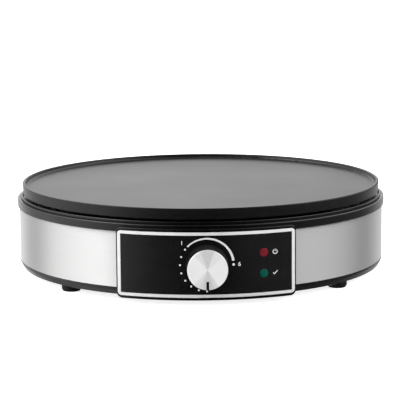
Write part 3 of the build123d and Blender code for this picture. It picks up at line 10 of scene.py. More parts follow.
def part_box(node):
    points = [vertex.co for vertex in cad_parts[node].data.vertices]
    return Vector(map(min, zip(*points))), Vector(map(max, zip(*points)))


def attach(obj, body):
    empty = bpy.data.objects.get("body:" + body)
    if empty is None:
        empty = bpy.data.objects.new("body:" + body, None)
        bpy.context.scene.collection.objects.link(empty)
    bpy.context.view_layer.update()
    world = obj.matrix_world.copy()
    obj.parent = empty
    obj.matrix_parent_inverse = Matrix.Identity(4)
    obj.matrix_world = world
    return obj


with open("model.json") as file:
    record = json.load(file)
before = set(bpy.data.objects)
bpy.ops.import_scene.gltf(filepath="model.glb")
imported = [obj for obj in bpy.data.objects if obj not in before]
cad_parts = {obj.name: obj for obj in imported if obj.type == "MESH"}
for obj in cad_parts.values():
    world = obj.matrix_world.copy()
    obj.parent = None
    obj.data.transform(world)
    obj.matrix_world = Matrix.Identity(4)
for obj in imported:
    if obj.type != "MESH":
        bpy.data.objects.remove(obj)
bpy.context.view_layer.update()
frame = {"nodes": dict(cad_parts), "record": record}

bl_info = {
    "name": "Crepe Maker Dressing",
    "version": (1, 0, 0),
    "blender": (4, 5, 0),
    "location": "View3D > Sidebar > Crepe Maker",
    "description": "Finishes, panel printing and studio for the packed crepe maker",
    "category": "Object",
}

MM = 0.001
UP = Vector((0.0, 0.0, 1.0))
FORWARD = Vector((0.0, 1.0, 0.0))
WHITE = (1.0, 1.0, 1.0, 1.0)
BODY = "body"


def faced(part):
    """The middle of a part as seen from the front, on the plane that touches the fascia."""
    low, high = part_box(part)
    return Vector(((low.x + high.x) / 2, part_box("panel_fascia")[0].y, (low.z + high.z) / 2))


AXIS_Y = sum(corner.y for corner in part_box("hotplate")) / 2     # of the body
DIAL = faced("knob_cap")
SLOT_OF = {part["node"]: part["material_slot"] for part in frame["record"]["subparts"]}
OWN_FINISH = {"knob_body": "knob_plastic"}      # parts that look unlike the rest of their slot

# Finishes.
LINES = 14.0                # short brushed lines to a radian round the band
LONG_LINES = 4.0            # long ones to a radian
COARSE = 5                  # the long lines' spacing, in spacings of the short ones
LENS_SHADE = 0.75           # colour in the middle of a lens's prisms, as a share of that at their edges
CAP_PAINTED_SHADE = 0.74            # painted shade between the cap's painted bright fans, as a share of the colour in them

# Printing.
INK_GAP = 0.01 * MM         # between the fascia and the ink's back
WELD = 0.001 * MM           # marks' points closer than this are one
STAND_OFF = 1.0 * MM        # marks start this far in front of the fascia and are laid back on it
DISC_SIDES = 32
DISC_INSETS = (0.25, 0.3)   # rings of faces in a disc, as shares of its radius
ARC_STEPS = 48
RING_STEPS = 32
MITRE_LIMIT = 0.3           # least cosine that a stripe's mitre is widened by
FIGURE_SHARE = 0.7          # height of a figure as a share of its font's size
FIGURE_WEIGHT = 0.02        # the font's lines grow by this share of a figure's height

# Studio. Two tables give the brightness near the horizon and well above it: (degrees from the camera's side,
# brightness), where left is negative. The third gives a gain on both: (sine of the elevation, gain).
LEVEL_LIGHT = ((-180, 1.42), (-165, 1.25), (-152, 1.1), (-136, 0.75), (-124, 0.78), (-110, 1.25),
               (-90, 1.32), (-66, 1.15), (-57, 0.9), (-45, 0.38), (-31, 0.14), (-22, 0.06), (-12, 0.01),
               (0, 0.0), (14, 0.01), (28, 0.09), (52, 0.14), (62, 0.2), (80, 0.24), (101, 0.26),
               (116, 0.21), (126, 0.33), (136, 0.56), (150, 0.82), (162, 0.9), (171, 1.05), (180, 1.4))
RAISED_LIGHT = ((-180, 1.4), (-162, 1.1), (-150, 0.7), (-136, 0.75), (-122, 1.4), (-105, 3.1), (-90, 3.1),
                (-75, 2.7), (-60, 2.6), (-45, 1.2), (-24, 0.09), (-16, 0.02), (16, 0.02), (24, 0.09),
                (45, 0.9), (60, 3.0), (75, 3.1), (88, 3.0), (100, 2.8), (112, 2.6), (122, 2.0), (132, 1.1),
                (140, 1.3), (147, 1.6), (160, 1.3), (180, 1.4))
HEIGHT_LIGHT = ((-1.0, 0.7), (-0.45, 0.7), (-0.17, 1.0), (0.6, 1.0), (0.9, 0.5))
LEVEL_TO_RAISED = (0.1, 0.45)       # sines of the elevations between which the second table takes over
RAMP_SHARE = 0.25                   # a ramp's stops hold this share of a brightness, to stay under 1
BACKDROP = 1.05                     # brightness that the camera sees behind the floor
FLOOR_GLOW = 0.85                   # light that the floor adds for the camera alone
FLOOR_SIZE = 14.0                   # metres
LIGHTS = (                          # name, place, size, watts, whether reflections show it
    ("overhead", (0.0, 0.2, 1.8), 1.6, 4.0, False),
    ("key", (-1.5, -0.15, 1.9), 1.0, 14.0, True),
    ("front", (-0.3, -2.4, 1.7), 1.4, 12.0, False))
LIT_POINT = Vector((0.0, 0.0, 0.05))
SENSOR = 36.0                       # of the camera, in millimetres
NEAREST = 0.05                      # the camera's near clip, in metres


# ---------------------------------------------------------------- settings

def length(name, description, default_mm):
    """A length in metres, given here in millimetres."""
    return FloatProperty(name=name, description=description, default=default_mm * MM, min=0.0, unit="LENGTH")


def share(name, description, default):
    """A number from 0 to 1."""
    return FloatProperty(name=name, description=description, default=default, min=0.0, max=1.0,
                         subtype="FACTOR")


def angle(name, description, default_deg):
    """An angle, given here in degrees."""
    return FloatProperty(name=name, description=description, default=math.radians(default_deg),
                         unit="ROTATION")


def colour(name, description, default):
    """A linear colour."""
    return FloatVectorProperty(name=name, description=description, default=default, min=0.0, max=1.0,
                               size=3, subtype="COLOR")


class PlateSettings(bpy.types.PropertyGroup):
    """Non-stick coating on the hotplate."""
    coat: colour("Coating", "Colour of the non-stick coating", (0.006, 0.006, 0.006))
    roughness: share("Roughness", "How matt the coating is", 0.34)
    peel: length("Orange peel", "Width of the coating's fine waves", 1.4)


class HousingSettings(bpy.types.PropertyGroup):
    """Black mouldings and the steel band."""
    plastic: colour("Plastic", "Colour of the black mouldings", (0.0018, 0.0018, 0.002))
    plastic_roughness: share("Plastic roughness", "How matt the mouldings are", 0.24)
    steel: colour("Steel", "Colour of the brushed steel band", (0.658, 0.657, 0.655))
    steel_roughness: share("Steel roughness", "How far the brushing spreads a reflection", 0.42)
    brush_pitch: length("Brush pitch", "Spacing of the brushed lines", 0.35)


class PanelSettings(bpy.types.PropertyGroup):
    """Fascia, silver frame line, knob and lamps."""
    fascia: colour("Fascia", "Colour of the glossy fascia", (0.0075, 0.0075, 0.008))
    fascia_roughness: share("Fascia roughness", "How far the gloss is broken up", 0.12)
    silver: colour("Silver", "Colour of the silver frame line", (0.82, 0.82, 0.82))
    cap: colour("Knob cap", "Colour of the spun aluminium cap", (0.97, 0.97, 0.97))
    red: colour("Red lens", "Colour of the power lamp's lens", (0.24, 0.016, 0.026))
    green: colour("Green lens", "Colour of the ready lamp's lens", (0.0, 0.115, 0.08))


class MarkSettings(bpy.types.PropertyGroup):
    """White printing on the fascia."""
    ink: colour("Ink", "Colour of the printing", (0.93, 0.93, 0.93))
    ink_thickness: length("Ink thickness", "How far the ink stands off the fascia", 0.05)
    dial_radius: length("Dial radius", "From the knob's axis to the dots and the arc", 20.5)
    dot: length("Dot", "Diameter of a small dot", 1.5)
    end_dot: length("End dot", "Diameter of the dot at the hot end", 2.0)
    dot_count: IntProperty(name="Dots", description="Small dots along the low settings", default=8, min=1)
    dot_pitch: angle("Dot pitch", "Turn from one dot to the next", 18.0)
    arc_start: angle("Arc start", "Where the arc starts, clockwise from straight down", 134.0)
    arc_end: angle("Arc end", "Where the arc ends, clockwise from straight down", 261.5)
    end_angle: angle("End angle", "Where the hot end's dot stands, clockwise from straight down", 270.0)
    arc_thin: length("Arc thin end", "Width of the arc where it starts", 1.1)
    arc_thick: length("Arc thick end", "Width of the arc where it ends", 1.9)
    figure: length("Figure height", "Height of the dial's two numbers", 3.1)
    low_figure: StringProperty(name="Low number", description="Number where the arc starts", default="1")
    low_left: length("Low number aside", "From the knob's axis left to the low number", 19.0)
    low_up: length("Low number above", "From the knob's axis up to the low number", 17.0)
    high_figure: StringProperty(name="High number", description="Number by the hot end's dot", default="6")
    high_right: length("High number aside", "From the knob's axis right to the high number", 25.0)
    symbol: length("Symbol size", "Size of the symbols beside the lamps", 3.3)
    symbol_aside: length("Symbol aside", "From a lamp's middle right to its symbol", 9.5)
    stroke: length("Stroke", "Width of the symbols' lines", 0.5)


class StudioSettings(bpy.types.PropertyGroup):
    """Floor, light and camera."""
    floor: colour("Floor", "Colour of the plain floor", (0.92, 0.92, 0.92))
    aim_left: length("Aim aside", "The point that the camera looks at is this far left of the middle", 0.596)
    aim_up: length("Aim height", "The point that the camera looks at is this far above the floor", 55.8)
    distance: length("Distance", "From the camera to the point it looks at", 1500.0)
    height: angle("Elevation", "How far above the horizon the camera stands", 9.545)
    turn: angle("Turn", "How far round to the left the camera stands", 1.54)
    roll: angle("Roll", "How far the camera is tilted", -0.47)
    focal: FloatProperty(name="Focal length", description="Lens on a 36 mm sensor", default=159.17,
                         min=1.0, unit="CAMERA")


# ---------------------------------------------------------------- finishes

class Graph:
    """A tree of shader nodes, built a node at a time."""

    def __init__(self, tree):
        self.tree = tree

    def plug(self, socket, value):
        """Sets a socket, or links it where the value is another node's output."""
        if isinstance(value, bpy.types.NodeSocket):
            self.tree.links.new(value, socket)
        else:
            socket.default_value = value

    def node(self, kind, inputs=None, **options):
        """A new shader node with its options set and its inputs plugged."""
        made = self.tree.nodes.new("ShaderNode" + kind)
        for option, value in options.items():
            setattr(made, option, value)
        for socket, value in (inputs or {}).items():
            self.plug(made.inputs[socket], value)
        return made

    def maths(self, operation, *values):
        """One step of arithmetic."""
        return self.node("Math", dict(enumerate(values)), operation=operation).outputs[0]

    def ramp(self, place, stops, low, high):
        """A brightness read from (place, brightness) stops, for a place between two ends."""
        span = high - low
        made = self.node("ValToRGB", {0: self.maths("MULTIPLY_ADD", place, 1.0 / span, -low / span)})
        for index, (along, value) in enumerate(stops):
            along = (along - low) / span
            elements = made.color_ramp.elements
            element = elements[index] if index < 2 else elements.new(along)
            element.position = along
            element.color = (*[value * RAMP_SHARE] * 3, 1.0)
        return self.maths("DIVIDE", made.outputs[0], RAMP_SHARE)


class Finish(Graph):
    """A procedural material, built from one principled shader on object coordinates."""

    def __init__(self, name, base, roughness, metallic=0.0, **settings):
        self.material = bpy.data.materials.new(name)
        self.material.use_nodes = True
        super().__init__(self.material.node_tree)
        self.shader = self.tree.nodes["Principled BSDF"]
        self.coordinates = self.node("TexCoord")
        self.place = self.coordinates.outputs["Object"]
        self.base = Vector(base)
        self.set("Base Color", (*base, 1.0))
        self.set("Roughness", roughness)
        self.set("Metallic", metallic)
        for socket, value in settings.items():
            self.set(socket.replace("_", " ").title().replace("Ior", "IOR"), value)

    def set(self, socket, value):
        """Sets or links one of the shader's sockets."""
        self.plug(self.shader.inputs[socket], value)

    def vector(self, operation, first, second=(0.0, 0.0, 0.0)):
        """One step of vector arithmetic."""
        return self.node("VectorMath", {0: first, 1: second}, operation=operation).outputs[0]

    def noise(self, size, detail=3.0, place=None):
        """Cloudy noise with features about this wide, in metres."""
        inputs = {"Vector": place or self.place, "Scale": 1.0 / size, "Detail": detail}
        return self.node("TexNoise", inputs).outputs["Fac"]

    def cells(self, size):
        """Distance to the nearest of many scattered points this far apart."""
        return self.node("TexVoronoi", {"Vector": self.place, "Scale": 1.0 / size}).outputs["Distance"]

    def spread(self, value, low, high, start=0.3, end=0.7):
        """Maps a value from start..end to low..high."""
        inputs = {"Value": value, "From Min": start, "From Max": end, "To Min": low, "To Max": high}
        return self.node("MapRange", inputs).outputs["Result"]

    def blend(self, amount, first, second):
        """A colour between two, by the amount that an output carries."""
        mixer = self.node("Mix", data_type="RGBA")
        sockets = {socket.name: socket for socket in mixer.inputs if socket.enabled}
        for name, value in (("Factor", amount), ("A", (*first, 1.0)), ("B", (*second, 1.0))):
            self.plug(sockets[name], value)
        return next(socket for socket in mixer.outputs if socket.enabled)

    def tint(self, value, amount):
        """Varies the base colour by this share either way with a value."""
        dark = self.base * (1.0 - amount)
        light = self.base * (1.0 + amount)
        self.set("Base Color", self.blend(self.spread(value, 0.0, 1.0), dark, light))

    def wear(self, value, low, high):
        """Varies the roughness with a value."""
        self.set("Roughness", self.spread(value, low, high))

    def relief(self, *layers):
        """Bumps the surface by layers of (value, depth in metres)."""
        normal = None
        for value, depth in layers:
            inputs = {"Height": value, "Distance": depth, "Strength": 1.0}
            if normal:
                inputs["Normal"] = normal
            normal = self.node("Bump", inputs).outputs["Normal"]
        self.set("Normal", normal)

    def split(self, place):
        """The three coordinates apart."""
        return self.node("SeparateXYZ", {"Vector": place}).outputs

    def around(self, stretch, pitch):
        """Coordinates that run long round the body's axis and short up it, for brushed lines."""
        x, y, z = self.split(self.vector("SUBTRACT", self.place, (0.0, AXIS_Y, 0.0)))
        turn = self.maths("ARCTAN2", x, y)
        inputs = {0: self.maths("MULTIPLY", turn, stretch), 1: 0.0, 2: self.maths("DIVIDE", z, pitch)}
        return self.node("CombineXYZ", inputs).outputs[0]

    def rings(self, centre, pitch):
        """Fine rings turned round the knob's axis."""
        x, y, z = self.split(self.vector("SUBTRACT", self.place, tuple(centre)))
        radius = self.node("VectorMath", {0: self.node("CombineXYZ", {0: x, 1: z}).outputs[0]},
                           operation="LENGTH").outputs["Value"]
        return self.node("CombineXYZ", {0: self.maths("DIVIDE", radius, pitch)}).outputs[0]


def plate_coating(scene):
    """Satin non-stick coating: faint clouds, fine orange peel, sparse flecks."""
    style = scene.crepe_plate
    finish = Finish("plate_coating", style.coat, style.roughness, specular_ior_level=0.38)
    clouds = finish.noise(70 * MM, detail=4.0)
    peel = finish.noise(style.peel, detail=2.0)
    grain = finish.noise(0.5 * MM, detail=2.0)
    finish.tint(finish.noise(2.2 * MM, detail=5.0), 0.35)
    finish.wear(clouds, style.roughness - 0.012, style.roughness + 0.018)
    finish.relief((peel, 0.012 * MM), (grain, 0.004 * MM))
    return finish


def black_plastic(scene):
    """Satin moulded plastic with a fine spark grain and the least waviness."""
    matt = scene.crepe_housing.plastic_roughness
    finish = Finish("black_plastic", scene.crepe_housing.plastic, matt)
    grain = finish.noise(0.45 * MM, detail=3.0)
    waves = finish.noise(18 * MM, detail=1.0)
    finish.tint(finish.noise(30 * MM, detail=3.0), 0.2)
    finish.wear(finish.noise(12 * MM, detail=5.0), matt - 0.04, matt + 0.05)
    finish.relief((grain, 0.006 * MM), (waves, 0.02 * MM))
    return finish


def knob_plastic(scene):
    """The knob's plastic, duller than the mouldings."""
    finish = Finish("knob_plastic", (0.005, 0.005, 0.0055), 0.48, specular_ior_level=0.07)
    finish.tint(finish.noise(5 * MM, detail=4.0), 0.15)
    finish.wear(finish.noise(2 * MM, detail=4.0), 0.44, 0.53)
    finish.relief((finish.noise(0.3 * MM, detail=3.0), 0.004 * MM))
    return finish


def brushed_band(scene):
    """Stainless sheet brushed round the body."""
    style = scene.crepe_housing
    finish = Finish("brushed_band", style.steel, style.steel_roughness, metallic=1.0, anisotropic=1.0)
    lines = finish.noise(1.0, detail=4.0, place=finish.around(LINES, style.brush_pitch))
    long_lines = finish.noise(1.0, detail=2.0, place=finish.around(LONG_LINES, style.brush_pitch * COARSE))
    finish.tint(finish.maths("MULTIPLY", finish.maths("ADD", lines, long_lines), 0.5), 0.024)
    finish.wear(lines, style.steel_roughness - 0.04, style.steel_roughness + 0.04)
    finish.relief((lines, 0.001 * MM))
    along = finish.vector("CROSS_PRODUCT", finish.coordinates.outputs["Normal"], tuple(UP))
    finish.set("Tangent", finish.vector("CROSS_PRODUCT", along, finish.coordinates.outputs["Normal"]))
    return finish


def bright_trim(scene):
    """Silver foil pressed into the panel's groove."""
    finish = Finish("bright_trim", scene.crepe_panel.silver, 0.5, metallic=0.1)
    finish.tint(finish.noise(6 * MM, detail=3.0), 0.04)
    finish.wear(finish.noise(2 * MM, detail=4.0), 0.44, 0.56)
    finish.relief((finish.noise(3 * MM, detail=2.0), 0.01 * MM))
    return finish


def black_gloss(scene):
    """Glossy black fascia with the least ripple."""
    matt = scene.crepe_panel.fascia_roughness
    finish = Finish("black_gloss", scene.crepe_panel.fascia, matt)
    finish.tint(finish.noise(20 * MM, detail=2.0), 0.15)
    finish.wear(finish.noise(9 * MM, detail=5.0), matt - 0.03, matt + 0.05)
    finish.relief((finish.noise(6 * MM, detail=1.0), 0.004 * MM))
    return finish


def lens(name, tone):
    """Clear coloured plastic with a prism grid behind it."""
    finish = Finish(name, tone, 0.14, transmission_weight=0.25, ior=1.49, coat_weight=0.15,
                    coat_roughness=0.06, specular_ior_level=0.3)
    grid = finish.cells(0.9 * MM)
    deep = finish.base * LENS_SHADE
    finish.set("Base Color", finish.blend(finish.spread(grid, 0.0, 1.0, start=0.1, end=0.6), deep, tone))
    finish.wear(finish.noise(0.6 * MM), 0.1, 0.2)
    finish.relief((grid, 0.05 * MM))
    return finish


def red_lens(scene):
    """Red lamp lens."""
    return lens("red_lens", scene.crepe_panel.red)


def green_lens(scene):
    """Green lamp lens."""
    return lens("green_lens", scene.crepe_panel.green)


def spun_aluminium(scene):
    """Aluminium cap turned on a lathe, so that it shines in fans to the left and right; the fans are also
    painted into its colour as painted highlights with painted shade between them.
    """
    finish = Finish("spun_aluminium", scene.crepe_panel.cap, 0.5, metallic=0.25, anisotropic=0.95)
    arm = finish.vector("MULTIPLY", finish.vector("SUBTRACT", finish.place, tuple(DIAL)), (1.0, 0.0, 1.0))
    rings = finish.noise(1.0, detail=2.0, place=finish.rings(DIAL, 0.12 * MM))
    x, _, z = finish.split(finish.vector("NORMALIZE", arm))
    painted_fan_streaks = finish.noise(0.3, detail=3.0, place=finish.node("CombineXYZ", {0: x, 1: z}).outputs[0])
    sideways = finish.maths("ADD", finish.maths("ABSOLUTE", x), finish.spread(painted_fan_streaks, -0.22, 0.22))
    # painted highlight: the colour is bright in fans to the left and right and darker between them, with the
    # turned rings mixed in
    painted_fans = finish.spread(sideways, 0.0, 1.0, start=0.25, end=0.8)
    shine = finish.maths("ADD", painted_fans, finish.spread(rings, -0.06, 0.06))
    finish.set("Base Color", finish.blend(shine, finish.base * CAP_PAINTED_SHADE, finish.base))
    finish.wear(rings, 0.46, 0.54)
    finish.relief((rings, 0.002 * MM))
    finish.set("Tangent", arm)
    return finish


def zinc_steel(scene):
    """Bright zinc plate over pressed or turned steel."""
    finish = Finish("zinc_steel", (0.62, 0.63, 0.65), 0.3, metallic=1.0)
    finish.tint(finish.noise(3 * MM, detail=6.0), 0.14)
    finish.wear(finish.noise(0.8 * MM, detail=4.0), 0.22, 0.42)
    finish.relief((finish.noise(0.3 * MM, detail=3.0), 0.003 * MM))
    return finish


def element_steel(scene):
    """Element sheath, dulled and blued by heat."""
    finish = Finish("element_steel", (0.2, 0.185, 0.17), 0.5, metallic=0.85)
    heat = finish.spread(finish.noise(16 * MM, detail=5.0), 0.0, 1.0)
    finish.set("Base Color", finish.blend(heat, (0.11, 0.1, 0.1), (0.26, 0.22, 0.18)))
    finish.wear(finish.noise(1.5 * MM, detail=5.0), 0.42, 0.62)
    finish.relief((finish.noise(0.6 * MM, detail=4.0), 0.01 * MM))
    return finish


def shield_metal(scene):
    """Aluminised sheet with a dull spangle."""
    finish = Finish("shield_metal", (0.6, 0.6, 0.61), 0.42, metallic=1.0)
    finish.tint(finish.cells(7 * MM), 0.12)
    finish.wear(finish.cells(4 * MM), 0.34, 0.5)
    finish.relief((finish.noise(1.2 * MM, detail=4.0), 0.006 * MM))
    return finish


def rubber(scene):
    """Moulded black rubber."""
    finish = Finish("rubber", (0.011, 0.011, 0.011), 0.72, specular_ior_level=0.3)
    finish.tint(finish.noise(4 * MM, detail=5.0), 0.3)
    finish.wear(finish.noise(1.5 * MM, detail=4.0), 0.64, 0.84)
    finish.relief((finish.noise(0.5 * MM, detail=4.0), 0.02 * MM))
    return finish


def white_plastic(scene):
    """Cream-white moulded plastic."""
    finish = Finish("white_plastic", (0.74, 0.71, 0.64), 0.4, subsurface_weight=0.05, subsurface_scale=0.001)
    finish.tint(finish.noise(9 * MM, detail=3.0), 0.05)
    finish.wear(finish.noise(2 * MM, detail=4.0), 0.34, 0.48)
    finish.relief((finish.noise(0.6 * MM, detail=3.0), 0.008 * MM))
    return finish


def ceramic(scene):
    """Fired steatite with a faint speckle."""
    finish = Finish("ceramic", (0.72, 0.7, 0.65), 0.55)
    finish.tint(finish.cells(1.2 * MM), 0.08)
    finish.wear(finish.noise(1.4 * MM, detail=5.0), 0.46, 0.66)
    finish.relief((finish.noise(0.5 * MM, detail=5.0), 0.015 * MM))
    return finish


def brass(scene):
    """Machined brass, a little tarnished."""
    finish = Finish("brass", (0.66, 0.46, 0.19), 0.3, metallic=1.0)
    finish.tint(finish.noise(2.5 * MM, detail=5.0), 0.16)
    finish.wear(finish.noise(1.0 * MM, detail=5.0), 0.22, 0.42)
    finish.relief((finish.noise(0.35 * MM, detail=3.0), 0.004 * MM))
    return finish


def contact_silver(scene):
    """Silver contact faces with small burn marks."""
    finish = Finish("contact_silver", (0.82, 0.81, 0.78), 0.24, metallic=1.0)
    finish.tint(finish.noise(0.8 * MM, detail=6.0), 0.2)
    finish.wear(finish.noise(0.5 * MM, detail=4.0), 0.16, 0.4)
    finish.relief((finish.cells(0.4 * MM), 0.01 * MM))
    return finish


def lamp_glass(scene):
    """Thin glass of the neon lamps."""
    finish = Finish("lamp_glass", (0.95, 0.9, 0.84), 0.05, transmission_weight=0.9, ior=1.5)
    finish.tint(finish.noise(2 * MM, detail=2.0), 0.04)
    finish.wear(finish.noise(1 * MM, detail=3.0), 0.02, 0.09)
    finish.relief((finish.noise(1.5 * MM, detail=1.0), 0.01 * MM))
    return finish


def sleeve(name, tone, stripe=None):
    """Woven silicone-glass sleeving on a lead, with a stripe along one side if it has one."""
    finish = Finish(name, tone, 0.5)
    weave = finish.cells(0.55 * MM)
    finish.tint(weave, 0.18)
    if stripe:
        facing = finish.split(finish.coordinates.outputs["Normal"])[2]
        edge = finish.spread(facing, 0.0, 1.0, start=0.28, end=0.34)
        finish.set("Base Color", finish.blend(edge, tone, stripe))
    finish.wear(finish.noise(1.2 * MM, detail=4.0), 0.42, 0.6)
    finish.relief((weave, 0.03 * MM))
    return finish


def lead_sleeve(scene):
    """Brown live sleeving."""
    return sleeve("lead_sleeve", (0.1, 0.032, 0.014))


def lead_sleeve_blue(scene):
    """Blue neutral sleeving."""
    return sleeve("lead_sleeve_blue", (0.02, 0.09, 0.3))


def lead_sleeve_green(scene):
    """Green earth sleeving with its yellow stripe."""
    return sleeve("lead_sleeve_green", (0.03, 0.22, 0.04), (0.75, 0.6, 0.03))


def panel_ink(scene):
    """Screen-printed white ink."""
    finish = Finish("panel_ink", scene.crepe_marks.ink, 0.45)
    finish.tint(finish.noise(0.8 * MM, detail=4.0), 0.05)
    finish.wear(finish.noise(0.5 * MM, detail=3.0), 0.4, 0.55)
    finish.relief((finish.noise(0.4 * MM, detail=3.0), 0.004 * MM))
    return finish


RECIPES = {recipe.__name__: recipe for recipe in (
    plate_coating, black_plastic, knob_plastic, brushed_band, bright_trim, black_gloss, red_lens, green_lens,
    spun_aluminium, zinc_steel, element_steel, shield_metal, rubber, white_plastic, ceramic, brass,
    contact_silver, lamp_glass, lead_sleeve, lead_sleeve_blue, lead_sleeve_green, panel_ink)}


def finish_named(name, scene):
    """The material of this name, made when it is first asked for."""
    found = bpy.data.materials.get(name)
    return found or RECIPES[name](scene).material


def dress(part, scene):
    """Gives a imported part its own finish, or that of its slot."""
    made = frame["nodes"][part]
    made.data.materials.clear()
    made.data.materials.append(finish_named(OWN_FINISH.get(part, SLOT_OF[part]), scene))


# ---------------------------------------------------------------- modelling

def deselect():
    """Leaves nothing selected."""
    if bpy.context.object and bpy.context.object.mode != "OBJECT":
        bpy.ops.object.mode_set(mode="OBJECT")
    bpy.ops.object.select_all(action="DESELECT")


def pick(made):
    """Makes this object the only one that operators act on."""
    deselect()
    made.select_set(True)
    bpy.context.view_layer.objects.active = made


def settle(made):
    """Puts an object's place into its mesh."""
    pick(made)
    bpy.ops.object.transform_apply(location=True, rotation=True, scale=True)


def select_where(made, test):
    """Selects the vertices whose place passes a test, in edit mode."""
    bpy.ops.object.mode_set(mode="EDIT")
    bpy.ops.mesh.select_mode(type="VERT")
    bpy.ops.mesh.select_all(action="DESELECT")
    bpy.ops.object.mode_set(mode="OBJECT")
    for vertex in made.data.vertices:
        vertex.select = test(vertex.co)
    bpy.ops.object.mode_set(mode="EDIT")


def chosen(made):
    """The places of the selected vertices, leaving edit mode and coming back to it."""
    bpy.ops.object.mode_set(mode="OBJECT")
    places = [vertex.co.copy() for vertex in made.data.vertices if vertex.select]
    bpy.ops.object.mode_set(mode="EDIT")
    return places


def middle(places):
    """The middle of some places."""
    return sum(places, Vector()) / len(places)


def on_dial(turn, radius, centre=DIAL):
    """A place round the knob's axis, clockwise from straight down as seen from the front."""
    return Vector((centre.x - radius * math.sin(turn), centre.y, centre.z - radius * math.cos(turn)))


def flat_disc(name, centre, radius):
    """A disc facing the front, with rings of faces so that it can follow the fascia's curve."""
    deselect()
    bpy.ops.mesh.primitive_circle_add(vertices=DISC_SIDES, radius=radius, fill_type="NGON", location=centre,
                                      rotation=(math.pi / 2, 0.0, 0.0))
    made = bpy.context.object
    made.name = name
    settle(made)
    bpy.ops.object.mode_set(mode="EDIT")
    bpy.ops.mesh.select_all(action="SELECT")
    for inset in DISC_INSETS:
        bpy.ops.mesh.inset(thickness=radius * inset)
    bpy.ops.mesh.poke()
    bpy.ops.object.mode_set(mode="OBJECT")
    return made


def first_edge(name, start, end):
    """A mesh of one edge, to be swept into a stripe."""
    deselect()
    bpy.ops.mesh.primitive_plane_add(size=(end - start).length, location=(start + end) / 2)
    made = bpy.context.object
    made.name = name
    settle(made)
    select_where(made, lambda place: place.x > (start.x + end.x) / 2)
    bpy.ops.mesh.delete(type="VERT")
    bpy.ops.object.mode_set(mode="OBJECT")
    low, high = made.data.vertices
    low.co, high.co = start, end
    bpy.ops.object.mode_set(mode="EDIT")
    bpy.ops.mesh.select_all(action="SELECT")
    return made


def swept_arc(name, centre, radius, start, end, first_width, last_width, steps):
    """A stripe round a centre that grows from its first width to its last."""
    made = first_edge(name, on_dial(start, radius - first_width / 2, centre),
                      on_dial(start, radius + first_width / 2, centre))
    growth = (last_width / first_width) ** (1.0 / steps)
    step = (end - start) / steps
    for _ in range(steps):
        bpy.ops.mesh.extrude_edges_move()
        bpy.ops.transform.rotate(value=-step, orient_axis="Y", center_override=centre)
        bpy.ops.transform.resize(value=(growth, growth, growth), center_override=middle(chosen(made)))
    bpy.ops.object.mode_set(mode="OBJECT")
    return made


def stroked(name, points, width):
    """A stripe of even width along straight runs, with mitred corners."""
    last = len(points) - 1

    def across(index):
        before = (points[index] - points[max(index - 1, 0)]).normalized()
        after = (points[min(index + 1, last)] - points[index]).normalized()
        along = (before + after).normalized()
        mitre = 1.0 if index in (0, last) else max(along.dot(after), MITRE_LIMIT)
        return along.cross(FORWARD).normalized() * (width / 2 / mitre)

    made = first_edge(name, points[0] - across(0), points[0] + across(0))
    for index in range(1, len(points)):
        bpy.ops.mesh.extrude_edges_move()
        centre = middle(chosen(made))
        side = across(index)
        bpy.ops.object.mode_set(mode="OBJECT")
        ends = [vertex for vertex in made.data.vertices if vertex.select]
        ends.sort(key=lambda vertex: (vertex.co - centre).dot(side))
        ends[0].co, ends[1].co = points[index] - side, points[index] + side
        bpy.ops.object.mode_set(mode="EDIT")
    bpy.ops.object.mode_set(mode="OBJECT")
    return made


def figure(name, text, centre, height):
    """A number facing the front."""
    deselect()
    bpy.ops.object.text_add()
    made = bpy.context.object
    made.name = name
    made.data.body = text
    made.data.size = height / FIGURE_SHARE
    made.data.align_x = "CENTER"
    made.data.align_y = "CENTER"
    made.data.offset = height * FIGURE_WEIGHT
    bpy.ops.object.convert(target="MESH")
    made = bpy.context.object
    made.rotation_euler = (math.pi / 2, 0.0, 0.0)
    made.location = centre
    settle(made)
    return made


def joined(name, pieces):
    """Several pieces as one object."""
    pick(pieces[0])
    for piece in pieces:
        piece.select_set(True)
    bpy.ops.object.join()
    made = bpy.context.object
    made.name = name
    made.data.name = name
    return made


def apply(made, kind, **options):
    """Adds a modifier with these options and applies it."""
    pick(made)
    modifier = made.modifiers.new(kind.lower(), kind)
    for option, value in options.items():
        setattr(modifier, option, value)
    bpy.ops.object.modifier_apply(modifier=modifier.name)


def print_on_fascia(made, scene):
    """Lays flat marks on the fascia's curve, makes them as thick as the ink, and fixes them to the body."""
    pick(made)
    bpy.ops.object.mode_set(mode="EDIT")
    bpy.ops.mesh.select_all(action="SELECT")
    bpy.ops.mesh.remove_doubles(threshold=WELD)
    bpy.ops.transform.translate(value=-FORWARD * STAND_OFF)
    bpy.ops.object.mode_set(mode="OBJECT")
    apply(made, "SHRINKWRAP", target=frame["nodes"]["panel_fascia"], wrap_method="PROJECT",
          use_project_y=True, use_project_x=False, use_project_z=False,
          use_positive_direction=True, use_negative_direction=False, offset=INK_GAP)
    pick(made)
    bpy.ops.object.mode_set(mode="EDIT")
    bpy.ops.mesh.select_all(action="SELECT")
    bpy.ops.mesh.normals_make_consistent(inside=False)
    bpy.ops.object.mode_set(mode="OBJECT")
    if sum(face.normal.y * face.area for face in made.data.polygons) > 0:      # facing into the fascia
        bpy.ops.object.mode_set(mode="EDIT")
        bpy.ops.mesh.flip_normals()
        bpy.ops.object.mode_set(mode="OBJECT")
    apply(made, "SOLIDIFY", thickness=scene.crepe_marks.ink_thickness, offset=1.0)
    made.data.materials.clear()
    made.data.materials.append(finish_named("panel_ink", scene))
    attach(made, BODY)


# ---------------------------------------------------------------- operators

class PartFinish:
    """What the finishing operators share: each gives its parts the finish of their slot."""
    bl_options = {"REGISTER", "UNDO"}
    parts = ()

    def execute(self, context):
        for part in self.parts:
            dress(part, context.scene)
        return {"FINISHED"}


class CREPE_OT_hotplate(PartFinish, bpy.types.Operator):
    """Coat the hotplate"""
    bl_idname = "crepe.hotplate"
    bl_label = "Hotplate"
    parts = ("hotplate",)


